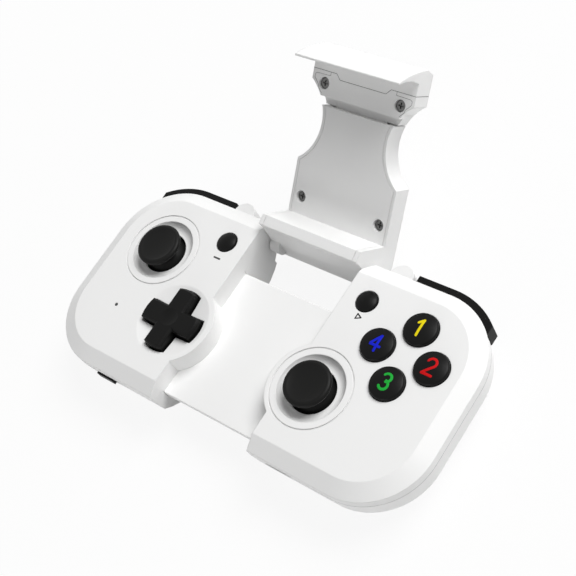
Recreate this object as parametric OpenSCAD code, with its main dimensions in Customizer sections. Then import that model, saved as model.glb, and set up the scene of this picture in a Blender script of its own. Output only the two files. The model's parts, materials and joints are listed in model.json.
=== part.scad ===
// Folding mobile game controller: two grips, a tray between them and a reclining phone clamp.
// Layout frame of the modules: x = 0 on the mid-plane, y = 0 on the row of the lower controls,
// z = 0 on the flat top of the grips. The clamp has its own frame on the hinge axis:
// x across, y up along the plate, z out of its front face.

/* [Grips] */
// Height of a grip from its flat bottom to its flat top
grip_h = 21; // [20.5:0.1:22]
// Half of the overall width
half_w = 71.1; // [70.5:0.1:76]
// Half of the bay between the grips
bay_half = 19.85; // [19.4:0.05:21]
// Row of the lower controls to the front wall
front_len = 24.3; // [23.8:0.1:27]
// Row of the lower controls to the back wall
back_len = 43.5; // [43:0.1:47]
// Radius of the outer corners in plan
corner_r = 22; // [20:0.5:23]
// Width of the bevel round the top face
bevel_w = 4.9; // [4:0.1:5.4]
// Drop of the bevel
bevel_drop = 2.65; // [2.2:0.05:3]
// Depth of the parting line below the top face
parting = 5.7; // [5.4:0.1:6]
// Depth where the underside starts to round in
flank_depth = 12.1; // [11.6:0.1:12.6]
// Draw-in of the flank at that depth
flank_in = 0.7; // [0.4:0.1:1.2]
// Run of the rounded underside from the flank to the flat bottom
belly_span = 18.3; // [17.5:0.1:19]
// Slope of the underside where its round begins
round_start = 35; // [30:1:40]
// Wall of the casings
wall = 1.9; // [1.6:0.1:2.1]
// Thickness of the top panel
top_wall = 2.2; // [2:0.1:2.4]
// Thickness of the floor
floor_t = 1.8; // [1.5:0.1:2]
// Radius of the round boss that bulges into the bay
boss_r = 14.5; // [14:0.1:15]

/* [Controls] */
// Bay wall to the centre of the lower controls
lower_in = 8.15; // [8:0.05:8.6]
// Outer edge to the centre of the upper controls
upper_in = 22.7; // [22:0.1:24]
// Back wall to the row of the upper controls
upper_back = 23.6; // [23:0.1:24]
// Back wall to the menu buttons
menu_in = 12.7; // [12.4:0.1:13.5]
// Centre of the button diamond to each button
face_pitch = 9.31; // [9.2:0.05:10]
// Radius of a face button
face_r = 5.3; // [5:0.05:5.4]
// Height of a face button above the top face
face_proud = 1.7; // [1.2:0.1:2.5]
// Travel of a face button
face_travel = 1.2; // [0.8:0.1:1.4]
// Radius of a menu button
menu_r = 3.5; // [3:0.1:3.6]
// Height of a menu button above the top face
menu_proud = 1; // [0.8:0.1:1.6]
// Travel of a menu button
menu_travel = 0.7; // [0.4:0.1:0.8]
// Gap between a button and its hole
key_gap = 0.2; // [0.15:0.05:0.3]
// Tip to tip size of the direction pad
pad_span = 21.3; // [20:0.1:22.4]
// Width of an arm of the direction pad
pad_arm = 7.2; // [6:0.1:7.6]
// Height of the direction pad above the top face
pad_proud = 2.2; // [1.8:0.1:2.8]
// Radius of the dish round the direction pad
dish_r = 12.6; // [12.3:0.1:13]
// Depth of that dish
dish_depth = 1.4; // [1:0.1:1.6]
// Gap between the direction pad and its opening
pad_gap = 0.6; // [0.5:0.05:0.7]

/* [Sticks] */
// Radius of a stick cap
cap_r = 7.5; // [7.2:0.1:7.6]
// Height of a stick cap above the top face
cap_proud = 3.7; // [3.2:0.1:4.2]
// Radius of the dome under a cap
dome_r = 7.7; // [7.5:0.1:7.75]
// Depth of the tilt centre below the top face
pivot_depth = 6.9; // [6.7:0.1:7.1]
// Radius of the well at the top face
well_r = 10.8; // [10.7:0.1:11.4]
// Depth of the bowl of the well
well_depth = 2.1; // [2:0.1:2.3]
// Gap between the dome and the hole under the well
dome_gap = 0.4; // [0.35:0.05:0.5]
// Radius of the ring groove round the well
groove_r = 13; // [12.4:0.1:13.4]
// Width and depth of the ring groove
groove_w = 0.35; // [0.2:0.05:0.5]
// Click travel of a stick
click_travel = 0.4; // [0.2:0.05:0.5]
// Radius of the pins of the tilt gear
gimbal_pin_r = 0.6; // [0.5:0.05:0.65]

/* [Tray] */
// Depth of the tray top below the grip tops
tray_depth = 6.8; // [6.6:0.1:7]
// Row of the lower controls to the front edge of the tray
tray_front = 19.9; // [19.4:0.1:20]
// Back wall to the back edge of the tray
tray_back_in = 17.5; // [17.5:0.1:19.5]
// Thickness of the tray plate
tray_t = 1.5; // [1.4:0.1:1.7]
// Thickness of the cover under the tray
tray_cover_t = 1.2; // [1:0.1:1.4]

/* [Clamp] */
// Back wall to the hinge axis
hinge_in = 2.8; // [2.3:0.05:2.8]
// Depth of the hinge axis below the grip tops
hinge_depth = 9.8; // [9.75:0.05:10]
// Angle of the clamp above the level in use
recline = 41; // [35:1:60]
// Radius of the hinge pins
hinge_pin_r = 1.5; // [1.2:0.1:1.6]
// Gap between the clamp and each grip
bay_gap = 0.55; // [0.4:0.05:0.8]
// Hinge axis to the front face of the plate
face_back = 3.57; // [3.45:0.01:3.6]
// Thickness of the plate
plate_t = 6.9; // [6.7:0.1:7.1]
// Hinge axis to the face of the ledge
ledge_u = 10.8; // [10.4:0.1:10.9]
// Reach of the ledge from the plate
ledge_reach = 12.7; // [11.5:0.1:12.8]
// Thickness of the ledge
ledge_t = 4.7; // [4:0.1:4.9]
// Hinge axis to the upper end of the fixed plate
fixed_end = 46.9; // [46:0.1:47.2]
// Strip between the fixed plate and the jaw head
jaw_strip = 2.7; // [2.4:0.1:3.4]
// Height of the jaw head below its seam
jaw_low_h = 7.75; // [7.4:0.05:8]
// Step of that seam in the middle
seam_step = 1.65; // [1:0.05:2]
// Seam of the jaw head to the inside of the lip
lip_up = 3.85; // [3.4:0.05:4.4]
// Reach of the lip from the plate
lip_reach = 10.6; // [9:0.1:11]
// Height of the jaw head above the inside of the lip
lip_rise = 4; // [3.5:0.1:4.4]
// Gap between the clamp's waist and the bosses when folded
waist_gap = 0.94; // [0.92:0.02:1.1]
// Travel of the jaw
jaw_travel = 28; // [20:1:28]

/* [Shoulder buttons] */
// How far a bumper stands out of the back wall
bumper_out = 2.3; // [1.8:0.1:2.6]
// Depth of a bumper's top below the grip tops
bumper_top = 3.2; // [3.1:0.1:3.4]
// Height of a bumper
bumper_h = 6.2; // [5.6:0.1:6.4]
// Mid-plane to the inner end of a bumper
bumper_x = 36.5; // [36:0.1:37.5]
// Angle on the corner where a bumper ends
bumper_end = 44; // [38:1:46]
// Radius of the shoulder pivot pins
shoulder_pin_r = 0.9; // [0.7:0.05:1]
// How far a trigger runs past the start of the outer corner
trigger_past = 4.3; // [3:0.1:4.6]
// Reach of a trigger from its pivot
trigger_reach = 9.6; // [8:0.1:10]

/* [Ports] */
// Bay wall to the middle of the charging port
port_in = 9.65; // [9.15:0.1:13.65]
// Width of the port's shell
port_w = 8.94; // [8.9:0.01:9]
// Height of the port's shell
port_h = 3.26; // [3.2:0.01:3.3]
// Depth of the port's centre below the grip tops
port_depth = 7.2; // [7:0.1:7.6]
// Start of the outer corner to the middle of the switch knob
knob_in = 6.5; // [6:0.1:9]
// Width of the switch knob
knob_w = 7; // [5:0.1:7.2]
// Height of the switch knob
knob_h = 2.4; // [1.8:0.1:2.6]
// How far the knob stands out of the front wall
knob_proud = 0.6; // [0.4:0.1:1.2]
// Travel of the switch knob
knob_travel = 2; // [1:0.1:2.4]
// Radius of the indicator hole
lamp_r = 0.6; // [0.4:0.05:0.8]

/* [Inside] */
// Thickness of the circuit boards
board_t = 1.2; // [1:0.1:1.6]
// Height of the top of the boards above the bottom
board_up = 7; // [6.8:0.1:7.2]
// Radius of the screw posts
post_r = 2.4; // [2.2:0.1:2.6]
// Radius of a screw's shank
screw_r = 0.9; // [0.7:0.05:1]
// Radius of a screw's head
screw_head_r = 1.7; // [1.5:0.05:1.8]
// Height of a screw's head
screw_head_h = 1.1; // [0.8:0.1:1.2]
// Radial clearance of pins that turn in bores
run_gap = 0.05; // [0.02:0.01:0.08]
// Clearance between parts that slide or sit loosely
slip_gap = 0.3; // [0.2:0.05:0.35]

/* [Hidden] */
$fn = 64;

white = "whitesmoke";
black = "dimgray";
steel = "silver";

eps = 0.01;
over = 1;
lower_x = bay_half + lower_in;
upper_x = half_w - upper_in;
upper_y = back_len - upper_back;
tray_back = back_len - tray_back_in;
hinge_y = back_len - hinge_in;
port_x = bay_half + port_in;
menu_y = back_len - menu_in;
corner_x = half_w - corner_r;
corner_back = back_len - corner_r;
board_depth = grip_h - board_up;

// Underside: an arc that leaves the flank at round_start and ends flat at the bottom
belly_steps = 6;
belly = [
  for (i = [1 : belly_steps])
    let (t = round_start + (90 - round_start) * i / belly_steps)
    let (run = (cos(round_start) - cos(t)) / cos(round_start))
    let (drop = (sin(t) - sin(round_start)) / (1 - sin(round_start)))
    [flank_in + belly_span * run, -flank_depth - (grip_h - flank_depth) * drop]
];
top_edge = [[bevel_w, 0], [0, -bevel_drop], [0, -parting]];
bottom_edge = concat([[0, -parting], [flank_in, -flank_depth]], belly);

// Hollow of the casings
top_hollow_edge = [[bevel_w + 0.4, -top_wall], [wall, -bevel_drop - top_wall / 2], [wall, -parting - eps]];
belly_wall = wall + 0.6;
bottom_hollow_edge = [
  [wall, -parting + eps], [flank_in + wall, -flank_depth],
  [belly[2][0] + belly_wall, max(belly[2][1], -grip_h + floor_t + eps * 2)],
  [belly[3][0] + belly_wall, -grip_h + floor_t]
];
recess_back = 4.6;
top_hollow_back = recess_back + 1.9;
bottom_hollow_back = 9.2;

// Clamp frame
clamp_half = bay_half - bay_gap;
plate_front = -face_back;
plate_back = -face_back - plate_t;
waist_shift = 0.6;
waist_u = hinge_y + waist_shift;
waist_r = boss_r + waist_gap;
waist_half = lower_x - waist_r;
panel_t = 1.5;
rim = 0.9;
rim_gap = 0.1;
pocket_in = 2.4;
back_skin = 1.5;
ridge_w = plate_front + ledge_reach;
nose_w = ridge_w + 1.4;
nose_drop = 3.1;
ledge_low = ledge_u - ledge_t;
lip_tip_w = plate_front + lip_reach;
lip_tip_t = 0.6;
jaw_start = fixed_end + jaw_strip;
jaw_seam = jaw_start + jaw_low_h;
lip_u = jaw_seam + lip_up;
jaw_top = lip_u + lip_rise;
back_corner_u = jaw_top - 1.5;

// Rest pose limits, for the origin under the middle of the part
rest_front = -front_len - knob_proud;
rest_back = hinge_y + back_corner_u * cos(recline) - plate_back * sin(recline);
mid_y = (rest_front + rest_back) / 2;

// Screw posts of the grips
post_front_in = 10.3;
post_side_in = 10;
post_bay_in = 4.65;
post_tray_in = 7;
post_back_in = 13.5;
posts = [
  [corner_x - 1, -front_len + post_front_in],
  [half_w - post_side_in, 1],
  [bay_half + post_bay_in, tray_back - post_tray_in],
  [(lower_x + menu_r + upper_x - face_r) / 2, back_len - post_back_in]
];
post_foot = 0.6;
post_seat = board_depth + board_t;
head_seat = post_seat + 1.4;

module at_layout() {
  translate([0, -mid_y, grip_h]) children();
}

module at_clamp() {
  at_layout() translate([0, hinge_y, -hinge_depth]) rotate([recline, 0, 0]) children();
}

// Solid of a grip's plan with a moulded edge: a list of [inset, z] from its top to its bottom
module moulded(edge, x_in, x_mid, y_front, y_back, r) {
  rear = [for (i = [len(edge) - 1 : -1 : 0]) edge[i]];
  across = concat([for (e = edge) [y_front + e[0], e[1]]], [for (e = rear) [y_back - e[0], e[1]]]);
  outward = concat([for (e = edge) [r - e[0], e[1]]], [for (e = rear) [0, e[1]]]);
  flank = [outward[0], for (i = [1 : len(edge) - 1]) outward[i], [0, rear[0][1]], [0, edge[0][1]]];
  translate([x_in, 0, 0]) rotate([90, 0, 90]) linear_extrude(x_mid - x_in) polygon(across);
  translate([x_mid, y_back - r, 0]) {
    rotate([90, 0, 0]) linear_extrude(y_back - y_front - 2 * r) polygon(flank);
    rotate_extrude(angle = 90) polygon(flank);
  }
  translate([x_mid, y_front + r, 0]) rotate([0, 0, -90]) rotate_extrude(angle = 90) polygon(flank);
}

module grip_solid(edge) {
  moulded(edge, bay_half, corner_x, -front_len, back_len, corner_r);
}

// The hollow keeps the grip's outline and stops short of the shoulder buttons
module grip_hollow(edge, back_in) {
  intersection() {
    moulded(edge, bay_half + wall, corner_x, -front_len, back_len, corner_r);
    box_between([0, -front_len, -grip_h], [half_w, back_len - back_in, 0]);
  }
}

module box_between(a, b) {
  translate(a) cube(b - a);
}

// Band along the back wall and round the corner, between two insets
module shoulder_band(in_far, in_near, x_start, end_angle, z_low, z_high) {
  box_between([x_start, back_len - in_far, z_low], [corner_x, back_len - in_near, z_high]);
  translate([corner_x, corner_back, z_low]) rotate([0, 0, 90]) rotate_extrude(angle = end_angle - 90)
    translate([corner_r - in_far, 0]) square([in_far - in_near, z_high - z_low]);
}

// Round housing of the bumper pivot behind the back wall
hump_r = 4;
hump_x = bumper_x - hump_r - 1;
hump_y = back_len - 0.5;
hump_top = bevel_drop + 0.1;
hump_low = bumper_top + bumper_h + 1.2;
bumper_pivot_x = bumper_x - 3.5;
bumper_pivot_y = back_len - 1.5;
eye_r = 1.9;
bumper_in = 2.9;
bumper_end_gap = 2.8;
bumper_slant = 45;

module hump(z_low, z_high) {
  translate([hump_x, hump_y, z_low]) cylinder(r = hump_r, h = z_high - z_low);
}

module bumper_recess() {
  z_low = -bumper_top - bumper_h - slip_gap;
  z_high = -bumper_top + slip_gap;
  shoulder_band(recess_back, -over, bumper_x - slip_gap, bumper_end - bumper_end_gap, z_low, z_high);
  translate([bumper_pivot_x, bumper_pivot_y, z_low]) cylinder(r = eye_r + slip_gap, h = z_high - z_low);
  box_between(
    [bumper_pivot_x, bumper_pivot_y - eye_r, z_low],
    [bumper_x, bumper_pivot_y + eye_r - 0.4, z_high]
  );
}

// Trigger sizes
trigger_x = bumper_x + 0.4;
trigger_pivot_y = back_len - 5.2;
trigger_pivot_z = -bumper_top - bumper_h - 3.4;
trigger_barrel = 1.9;
trigger_pin_in = 1.4;
trigger_recess_in = 7.6;
trigger_w = corner_x + trigger_past - trigger_x;
trigger_toe = grip_h + trigger_pivot_z - 1.6;

module trigger_recess() {
  box_between(
    [trigger_x - slip_gap, back_len - trigger_recess_in, -grip_h - over],
    [trigger_x + trigger_w + slip_gap, back_len + over, trigger_pivot_z + trigger_barrel + slip_gap]
  );
}

// Diagonal cut of the inner back corner
corner_cut_x = 2;
corner_cut_y = 3.5;

module inner_corner_cut(z_low) {
  translate([0, 0, z_low]) linear_extrude(grip_h + over) polygon([
    [bay_half - over, back_len - corner_cut_y - 1.75 * over],
    [bay_half + corner_cut_x + over, back_len + 1.75 * over],
    [bay_half - over, back_len + 1.75 * over]
  ]);
}

function mirrored(side) = side < 0 ? [1, 0, 0] : [0, 0, 0];

// Top casing without its control openings; side is 1 on the right and -1 on the left
module top_casing_blank(side) {
  mirror(mirrored(side)) {
    difference() {
      union() {
        difference() {
          grip_solid(top_edge);
          grip_hollow(top_hollow_edge, top_hollow_back);
        }
        translate([lower_x, 0, -tray_depth]) cylinder(r = boss_r, h = tray_depth);
        box_between([bay_half, -tray_front, -tray_depth], [bay_half + wall, tray_back, -top_wall]);
        hump(-parting, -hump_top);
        for (p = posts) {
          translate([p[0], p[1], -board_depth]) cylinder(r = post_r, h = board_depth - top_wall + eps);
        }
      }
      bumper_recess();
      inner_corner_cut(-grip_h);
      for (p = posts) {
        translate([p[0], p[1], -board_depth - over]) cylinder(r = screw_r, h = board_depth - top_wall);
      }
      translate([bumper_pivot_x, bumper_pivot_y, -bumper_top - over])
        cylinder(r = shoulder_pin_r, h = over + slip_gap + 0.4);
    }
  }
}

// Bowl of a stick's well: a round that runs out on a flat ring, with a hole for the dome
bowl_up = 0.6;
bowl_r = well_depth + bowl_up;
bowl_mid = well_r - sqrt(bowl_r * bowl_r - bowl_up * bowl_up);
hole_r = bowl_mid - 0.8;
hole_low = well_depth + 1.2;

module well(x, y) {
  translate([x, y, 0]) {
    rotate_extrude() translate([bowl_mid, bowl_up]) circle(r = bowl_r);
    translate([0, 0, -well_depth]) cylinder(r = bowl_mid, h = well_depth + over);
    translate([0, 0, -grip_h]) cylinder(r = hole_r, h = grip_h);
    translate([0, 0, -grip_h]) cylinder(r = dome_r + dome_gap, h = grip_h - hole_low);
    translate([0, 0, -groove_w]) rotate_extrude() translate([groove_r - groove_w / 2, 0])
      square([groove_w, groove_w + over]);
  }
}

module round_hole(x, y, r) {
  translate([x, y, -grip_h]) cylinder(r = r, h = grip_h + over);
}

module pad_plan(grow) {
  intersection() {
    circle(r = pad_span / 2 + grow);
    union() {
      square([pad_arm + 2 * grow, pad_span + 4 * grow], center = true);
      square([pad_span + 4 * grow, pad_arm + 2 * grow], center = true);
    }
  }
}

// Direction pad levels
pad_roof = 3.6;
pad_flange_r = 8.4;
pad_flange_top = pad_roof + 0.8;
pad_pivot = pad_flange_top + 0.8;
rocker_top = pad_pivot + 0.75;
rocker_pivot = rocker_top + 1.9;
pad_cavity_r = pad_span / 2 + 1.2;
rib_r = 1;

face_spots = [[0, -1], [1, 0], [0, 1], [-1, 0]];
lamp_x = upper_x + 2.4;
lamp_y = -3.5;

module left_top_casing() {
  dish_ball = (dish_r * dish_r + dish_depth * dish_depth) / (2 * dish_depth);
  color(white) at_layout() difference() {
    union() {
      top_casing_blank(-1);
      translate([-upper_x, upper_y, -hole_low]) cylinder(r = well_r + 1, h = hole_low - top_wall + eps);
    }
    well(-upper_x, upper_y);
    translate([-lower_x, 0, dish_ball - dish_depth]) sphere(r = dish_ball);
    translate([-lower_x, 0, -grip_h]) cylinder(r = pad_cavity_r, h = grip_h - pad_roof);
    translate([-lower_x, 0, -grip_h]) linear_extrude(grip_h + over) pad_plan(pad_gap);
    round_hole(-lower_x, menu_y, menu_r + key_gap);
    round_hole(-lamp_x, lamp_y, lamp_r);
  }
}

module right_top_casing() {
  color(white) at_layout() difference() {
    top_casing_blank(1);
    well(lower_x, 0);
    port_hole();
    for (s = face_spots) {
      round_hole(upper_x + s[0] * face_pitch, upper_y + s[1] * face_pitch, face_r + key_gap);
    }
    round_hole(lower_x, menu_y, menu_r + key_gap);
  }
}

// Bay side of the bottom casing
hinge_boss_in = 5.5;
hinge_boss_r = 3.4;
hinge_slot_y = 3.7;
hinge_slot_drop = 2.8;
hinge_slot_h = grip_h - hinge_depth - hinge_slot_drop - floor_t - 0.4;
cover_gap = 0.3;
tray_low = tray_depth + tray_t + cover_gap + tray_cover_t;

module bottom_casing_blank(side) {
  mirror(mirrored(side)) {
    difference() {
      union() {
        difference() {
          grip_solid(bottom_edge);
          grip_hollow(bottom_hollow_edge, bottom_hollow_back);
        }
        hump(-hump_low, -parting);
        intersection() {
          grip_solid(bottom_edge);
          for (p = posts) {
            translate([p[0], p[1], -grip_h]) cylinder(r = post_r + post_foot, h = grip_h - post_seat);
          }
        }
        translate([bay_half, hinge_y, -hinge_depth]) rotate([0, 90, 0])
          cylinder(r = hinge_boss_r, h = hinge_boss_in);
      }
      box_between(
        [bay_half - over, -tray_front - 0.1, -tray_low],
        [bay_half + wall + over, tray_back + 0.1, -parting + over]
      );
      bumper_recess();
      trigger_recess();
      for (p = posts) {
        translate([p[0], p[1], -grip_h - over])
          cylinder(r = screw_head_r + slip_gap, h = grip_h + over - head_seat);
        translate([p[0], p[1], -grip_h]) cylinder(r = screw_r + 0.2, h = grip_h);
      }
      translate([bay_half - over, hinge_y, -hinge_depth]) rotate([0, 90, 0])
        cylinder(r = hinge_pin_r + run_gap, h = hinge_boss_in);
      box_between(
        [bay_half - over, hinge_y - hinge_slot_y, -hinge_depth - hinge_slot_drop - hinge_slot_h],
        [bay_half + wall / 2, hinge_y, -hinge_depth - hinge_slot_drop]
      );
      translate([bumper_pivot_x, bumper_pivot_y, -grip_h / 2 - over])
        cylinder(r = shoulder_pin_r, h = grip_h / 2);
      translate([trigger_x - trigger_pin_in - 0.1, trigger_pivot_y, trigger_pivot_z]) rotate([0, 90, 0])
        cylinder(r = shoulder_pin_r, h = trigger_w + 2 * trigger_pin_in + 0.2);
    }
  }
}

// Outline with round ends, across x
module stadium(w, h) {
  square([w - h, h], center = true);
  for (s = [-1, 1]) {
    translate([s * (w - h) / 2, 0]) circle(d = h);
  }
}

knob_x = corner_x - knob_in;
knob_depth = parting + knob_h / 2 + 0.7;
port_gap = 0.25;
port_wall = 0.35;

module port_hole() {
  translate([port_x, -front_len + 3 * wall, -port_depth]) rotate([90, 0, 0])
    linear_extrude(3 * wall + over) stadium(port_w + 2 * port_gap, port_h + 2 * port_gap);
}

module left_bottom_casing() {
  color(white) at_layout() difference() {
    bottom_casing_blank(-1);
    translate([-knob_x, -front_len, -knob_depth]) box_between(
      [-knob_w / 2 - slip_gap, -over, -knob_h / 2 - slip_gap],
      [knob_w / 2 + knob_travel + slip_gap, 2 * wall, knob_h / 2 + slip_gap]
    );
  }
}

module right_bottom_casing() {
  color(white) at_layout() difference() {
    bottom_casing_blank(1);
    port_hole();
  }
}

// Tray with tongues that lie under the top casings
tongue_half_y = 4.5;
tongue_y = [posts[2][1] - tongue_half_y, posts[2][1] + tongue_half_y];
front_tongue_y = [-tray_front + 1, -tray_front + 6];
tray_half = bay_half + wall - 0.2;
lip_edge = 0.8;
tray_lip_t = 1.2;
tray_lip_h = 2.4;
cover_front = -tray_front + tray_lip_t + 0.2;

module tray_slab() {
  translate([-tray_half, 0, -tray_depth]) rotate([90, 0, 90]) linear_extrude(2 * tray_half) polygon([
    [-tray_front, 0],
    [tray_back - lip_edge / 2, 0],
    [tray_back, -lip_edge / 2],
    [tray_back, -tray_t],
    [-tray_front + tray_lip_t, -tray_t],
    [-tray_front + tray_lip_t, -tray_lip_h],
    [-tray_front, -tray_lip_h]
  ]);
}

module tray() {
  hold_x = posts[2][0] + post_r + 1.6;
  color(white) at_layout() difference() {
    union() {
      tray_slab();
      box_between([-hold_x, tongue_y[0], -tray_depth - tray_t], [hold_x, tongue_y[1], -tray_depth]);
      box_between(
        [-tray_half - 2, front_tongue_y[0], -tray_depth - tray_t],
        [tray_half + 2, front_tongue_y[1], -tray_depth]
      );
    }
    for (s = [-1, 1]) {
      translate([s * lower_x, 0, -grip_h]) cylinder(r = dome_r + 0.6, h = grip_h);
      translate([s * posts[2][0], posts[2][1], -grip_h]) cylinder(r = post_r + 0.15, h = grip_h);
    }
  }
}

cable_y = [9, 13.4];
cable_t = 0.2;
cable_x = bay_half + wall + 1.4;

module tray_cover() {
  cover_half = bay_half - 0.2;
  z_low = -tray_low;
  z_high = -tray_low + tray_cover_t;
  rim_w = 2.4;
  color(white) at_layout() {
    translate([-cover_half, 0, 0]) rotate([90, 0, 90]) linear_extrude(2 * cover_half) polygon([
      [cover_front, z_high + cover_gap],
      [cover_front + rim_w, z_high + cover_gap],
      [cover_front + rim_w, z_high],
      [tray_back - rim_w, z_high],
      [tray_back - rim_w, z_high + cover_gap],
      [tray_back, z_high + cover_gap],
      [tray_back - lip_edge, z_low],
      [cover_front + lip_edge, z_low]
    ]);
  }
}

module flex_cable() {
  z_run = -tray_depth - tray_t - 0.05;
  color("darkorange") at_layout() translate([0, cable_y[1], 0]) rotate([90, 0, 0])
    linear_extrude(cable_y[1] - cable_y[0]) polygon([
      [-cable_x, -board_depth],
      [-cable_x, z_run],
      [cable_x, z_run],
      [cable_x, -board_depth],
      [cable_x - cable_t, -board_depth],
      [cable_x - cable_t, z_run - cable_t],
      [-cable_x + cable_t, z_run - cable_t],
      [-cable_x + cable_t, -board_depth]
    ]);
}

board_in = 8.4;

module board_blank() {
  difference() {
    intersection() {
      moulded(
        [[board_in, -board_depth], [board_in, -board_depth - board_t]],
        bay_half + wall + slip_gap, corner_x, -front_len, back_len, corner_r
      );
      box_between([0, -front_len, -grip_h], [half_w, back_len - bottom_hollow_back - 1, 0]);
    }
    for (p = posts) {
      round_hole(p[0], p[1], screw_r + 0.2);
    }
  }
}

module left_board() {
  color("seagreen") at_layout() mirror([1, 0, 0]) board_blank();
}

module right_board() {
  color("seagreen") at_layout() board_blank();
}

battery_gap = 0.9;
battery_out = 4.6;
battery_x = [
  posts[2][0] + post_r + post_foot + battery_gap,
  posts[1][0] - post_r - post_foot - battery_out
];
battery_y = [-6, tray_back - 0.4];
battery_h = 3.4;

module battery() {
  z_low = -grip_h + floor_t;
  color("royalblue") at_layout()
    box_between([-battery_x[1], battery_y[0], z_low], [-battery_x[0], battery_y[1], z_low + battery_h]);
}

module screw(shank) {
  cylinder(r = screw_r, h = shank + eps);
  translate([0, 0, -screw_head_h]) cylinder(r = screw_head_r, h = screw_head_h);
}

casing_shank = 8;

module casing_screws(side) {
  for (p = posts) {
    translate([side * p[0], p[1], -head_seat]) screw(casing_shank);
  }
}

module left_casing_screws() {
  color(steel) at_layout() casing_screws(-1);
}

module right_casing_screws() {
  color(steel) at_layout() casing_screws(1);
}

ear_w = 3.8;
ear_r = 3;

module hinge_pins() {
  pin_in = clamp_half - ear_w + 0.1;
  pin_out = bay_half + hinge_boss_in - 1.2;
  color(steel) at_layout() for (s = [-1, 1]) {
    translate([s * (pin_in + pin_out) / 2, hinge_y, -hinge_depth]) rotate([0, 90, 0])
      cylinder(r = hinge_pin_r, h = pin_out - pin_in, center = true);
  }
}

port_len = 8;
port_front = -front_len + 1;
port_tongue_t = 0.7;

module charging_port() {
  leg_w = 0.8;
  leg_len = 1.2;
  leg_h = board_depth - port_depth;
  color(steel) at_layout() translate([port_x, 0, -port_depth]) {
    difference() {
      translate([0, port_front + port_len, 0]) rotate([90, 0, 0])
        linear_extrude(port_len) stadium(port_w, port_h);
      translate([0, port_front + port_len - 1, 0]) rotate([90, 0, 0])
        linear_extrude(port_len) stadium(port_w - 2 * port_wall, port_h - 2 * port_wall);
    }
    box_between(
      [-port_w / 2 + 1.2, port_front + 0.8, -port_tongue_t / 2],
      [port_w / 2 - 1.2, port_front + port_len - 0.5, port_tongue_t / 2]
    );
    for (s = [-1, 1]) {
      translate([s * (port_w / 2 - 2 * leg_w) - leg_w / 2, port_front + port_len - leg_len, -leg_h])
        cube([leg_w, leg_len, leg_h - port_h / 2 + port_wall]);
    }
  }
}

switch_half = 2.7;
knob_back = 3.3;
switch_in = 4.3;
switch_front = -front_len + switch_in;
switch_back = -front_len + board_in + 1.2;

module switch_body() {
  color("darkslategray") at_layout() translate([-knob_x, 0, 0]) {
    box_between(
      [-switch_half, switch_front, -knob_depth - 2.4],
      [switch_half, switch_back, -knob_depth + 1.6]
    );
    box_between(
      [-switch_half, -front_len + board_in + 0.1, -board_depth],
      [switch_half, switch_back, -knob_depth]
    );
  }
}

module switch_knob() {
  color(black) at_layout() translate([-knob_x, -front_len, -knob_depth]) {
    box_between([-knob_w / 2, -knob_proud, -knob_h / 2], [knob_w / 2, knob_back, knob_h / 2]);
    box_between([-1, knob_back - eps, -knob_h / 4], [1, switch_in - slip_gap, knob_h / 4]);
  }
}

module lamp_pipe() {
  color("lightcyan") at_layout() translate([-lamp_x, lamp_y, -board_depth]) {
    cylinder(r = lamp_r - run_gap, h = board_depth - 0.1);
    cylinder(r = 2.5 * lamp_r, h = 1);
  }
}

// Tilt gear of a stick: a base on the board, a frame that clicks down, a rocker and the shaft
stick_base_w = 12;
stick_base_top = pivot_depth + 1.7;
frame_r = 5;
frame_in = 4.15;
frame_low = board_depth - click_travel - 1.4;
frame_top = pivot_depth - 1;
rocker_r = 3.85;
rocker_in = 2.75;
rocker_half_h = 1;
hub_r = 2.2;
shaft_r = 1.4;
shaft_top = 2;
dome_t = 1;
dome_rim = pivot_depth - 1.4;
neck_r = 3.3;

module stick_base(x, y) {
  translate([x, y, 0]) difference() {
    translate([-stick_base_w / 2, -stick_base_w / 2, -board_depth])
      cube([stick_base_w, stick_base_w, board_depth - stick_base_top]);
    translate([0, 0, -frame_low - click_travel - slip_gap]) cylinder(r = frame_r + slip_gap, h = grip_h);
  }
}

module stick_frame(x, y) {
  translate([x, y, 0]) difference() {
    translate([0, 0, -frame_low]) cylinder(r = frame_r, h = frame_low - frame_top);
    translate([0, 0, -frame_low - over]) cylinder(r = frame_in, h = grip_h);
    translate([0, 0, -pivot_depth]) rotate([0, 90, 0])
      cylinder(r = gimbal_pin_r + run_gap, h = 4 * frame_r, center = true);
  }
}

module stick_rocker(x, y) {
  translate([x, y, -pivot_depth]) difference() {
    union() {
      cylinder(r = rocker_r, h = 2 * rocker_half_h, center = true);
      rotate([0, 90, 0]) cylinder(r = gimbal_pin_r, h = 2 * frame_r - 0.2, center = true);
    }
    cylinder(r = rocker_in, h = 4 * rocker_half_h, center = true);
    rotate([90, 0, 0]) cylinder(r = gimbal_pin_r + run_gap, h = 4 * rocker_r, center = true);
  }
}

module stick_shaft(x, y) {
  translate([x, y, -pivot_depth]) {
    sphere(r = hub_r);
    cylinder(r = shaft_r, h = pivot_depth + shaft_top);
    rotate([90, 0, 0]) cylinder(r = gimbal_pin_r, h = 2 * rocker_r - 0.3, center = true);
  }
}

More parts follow.
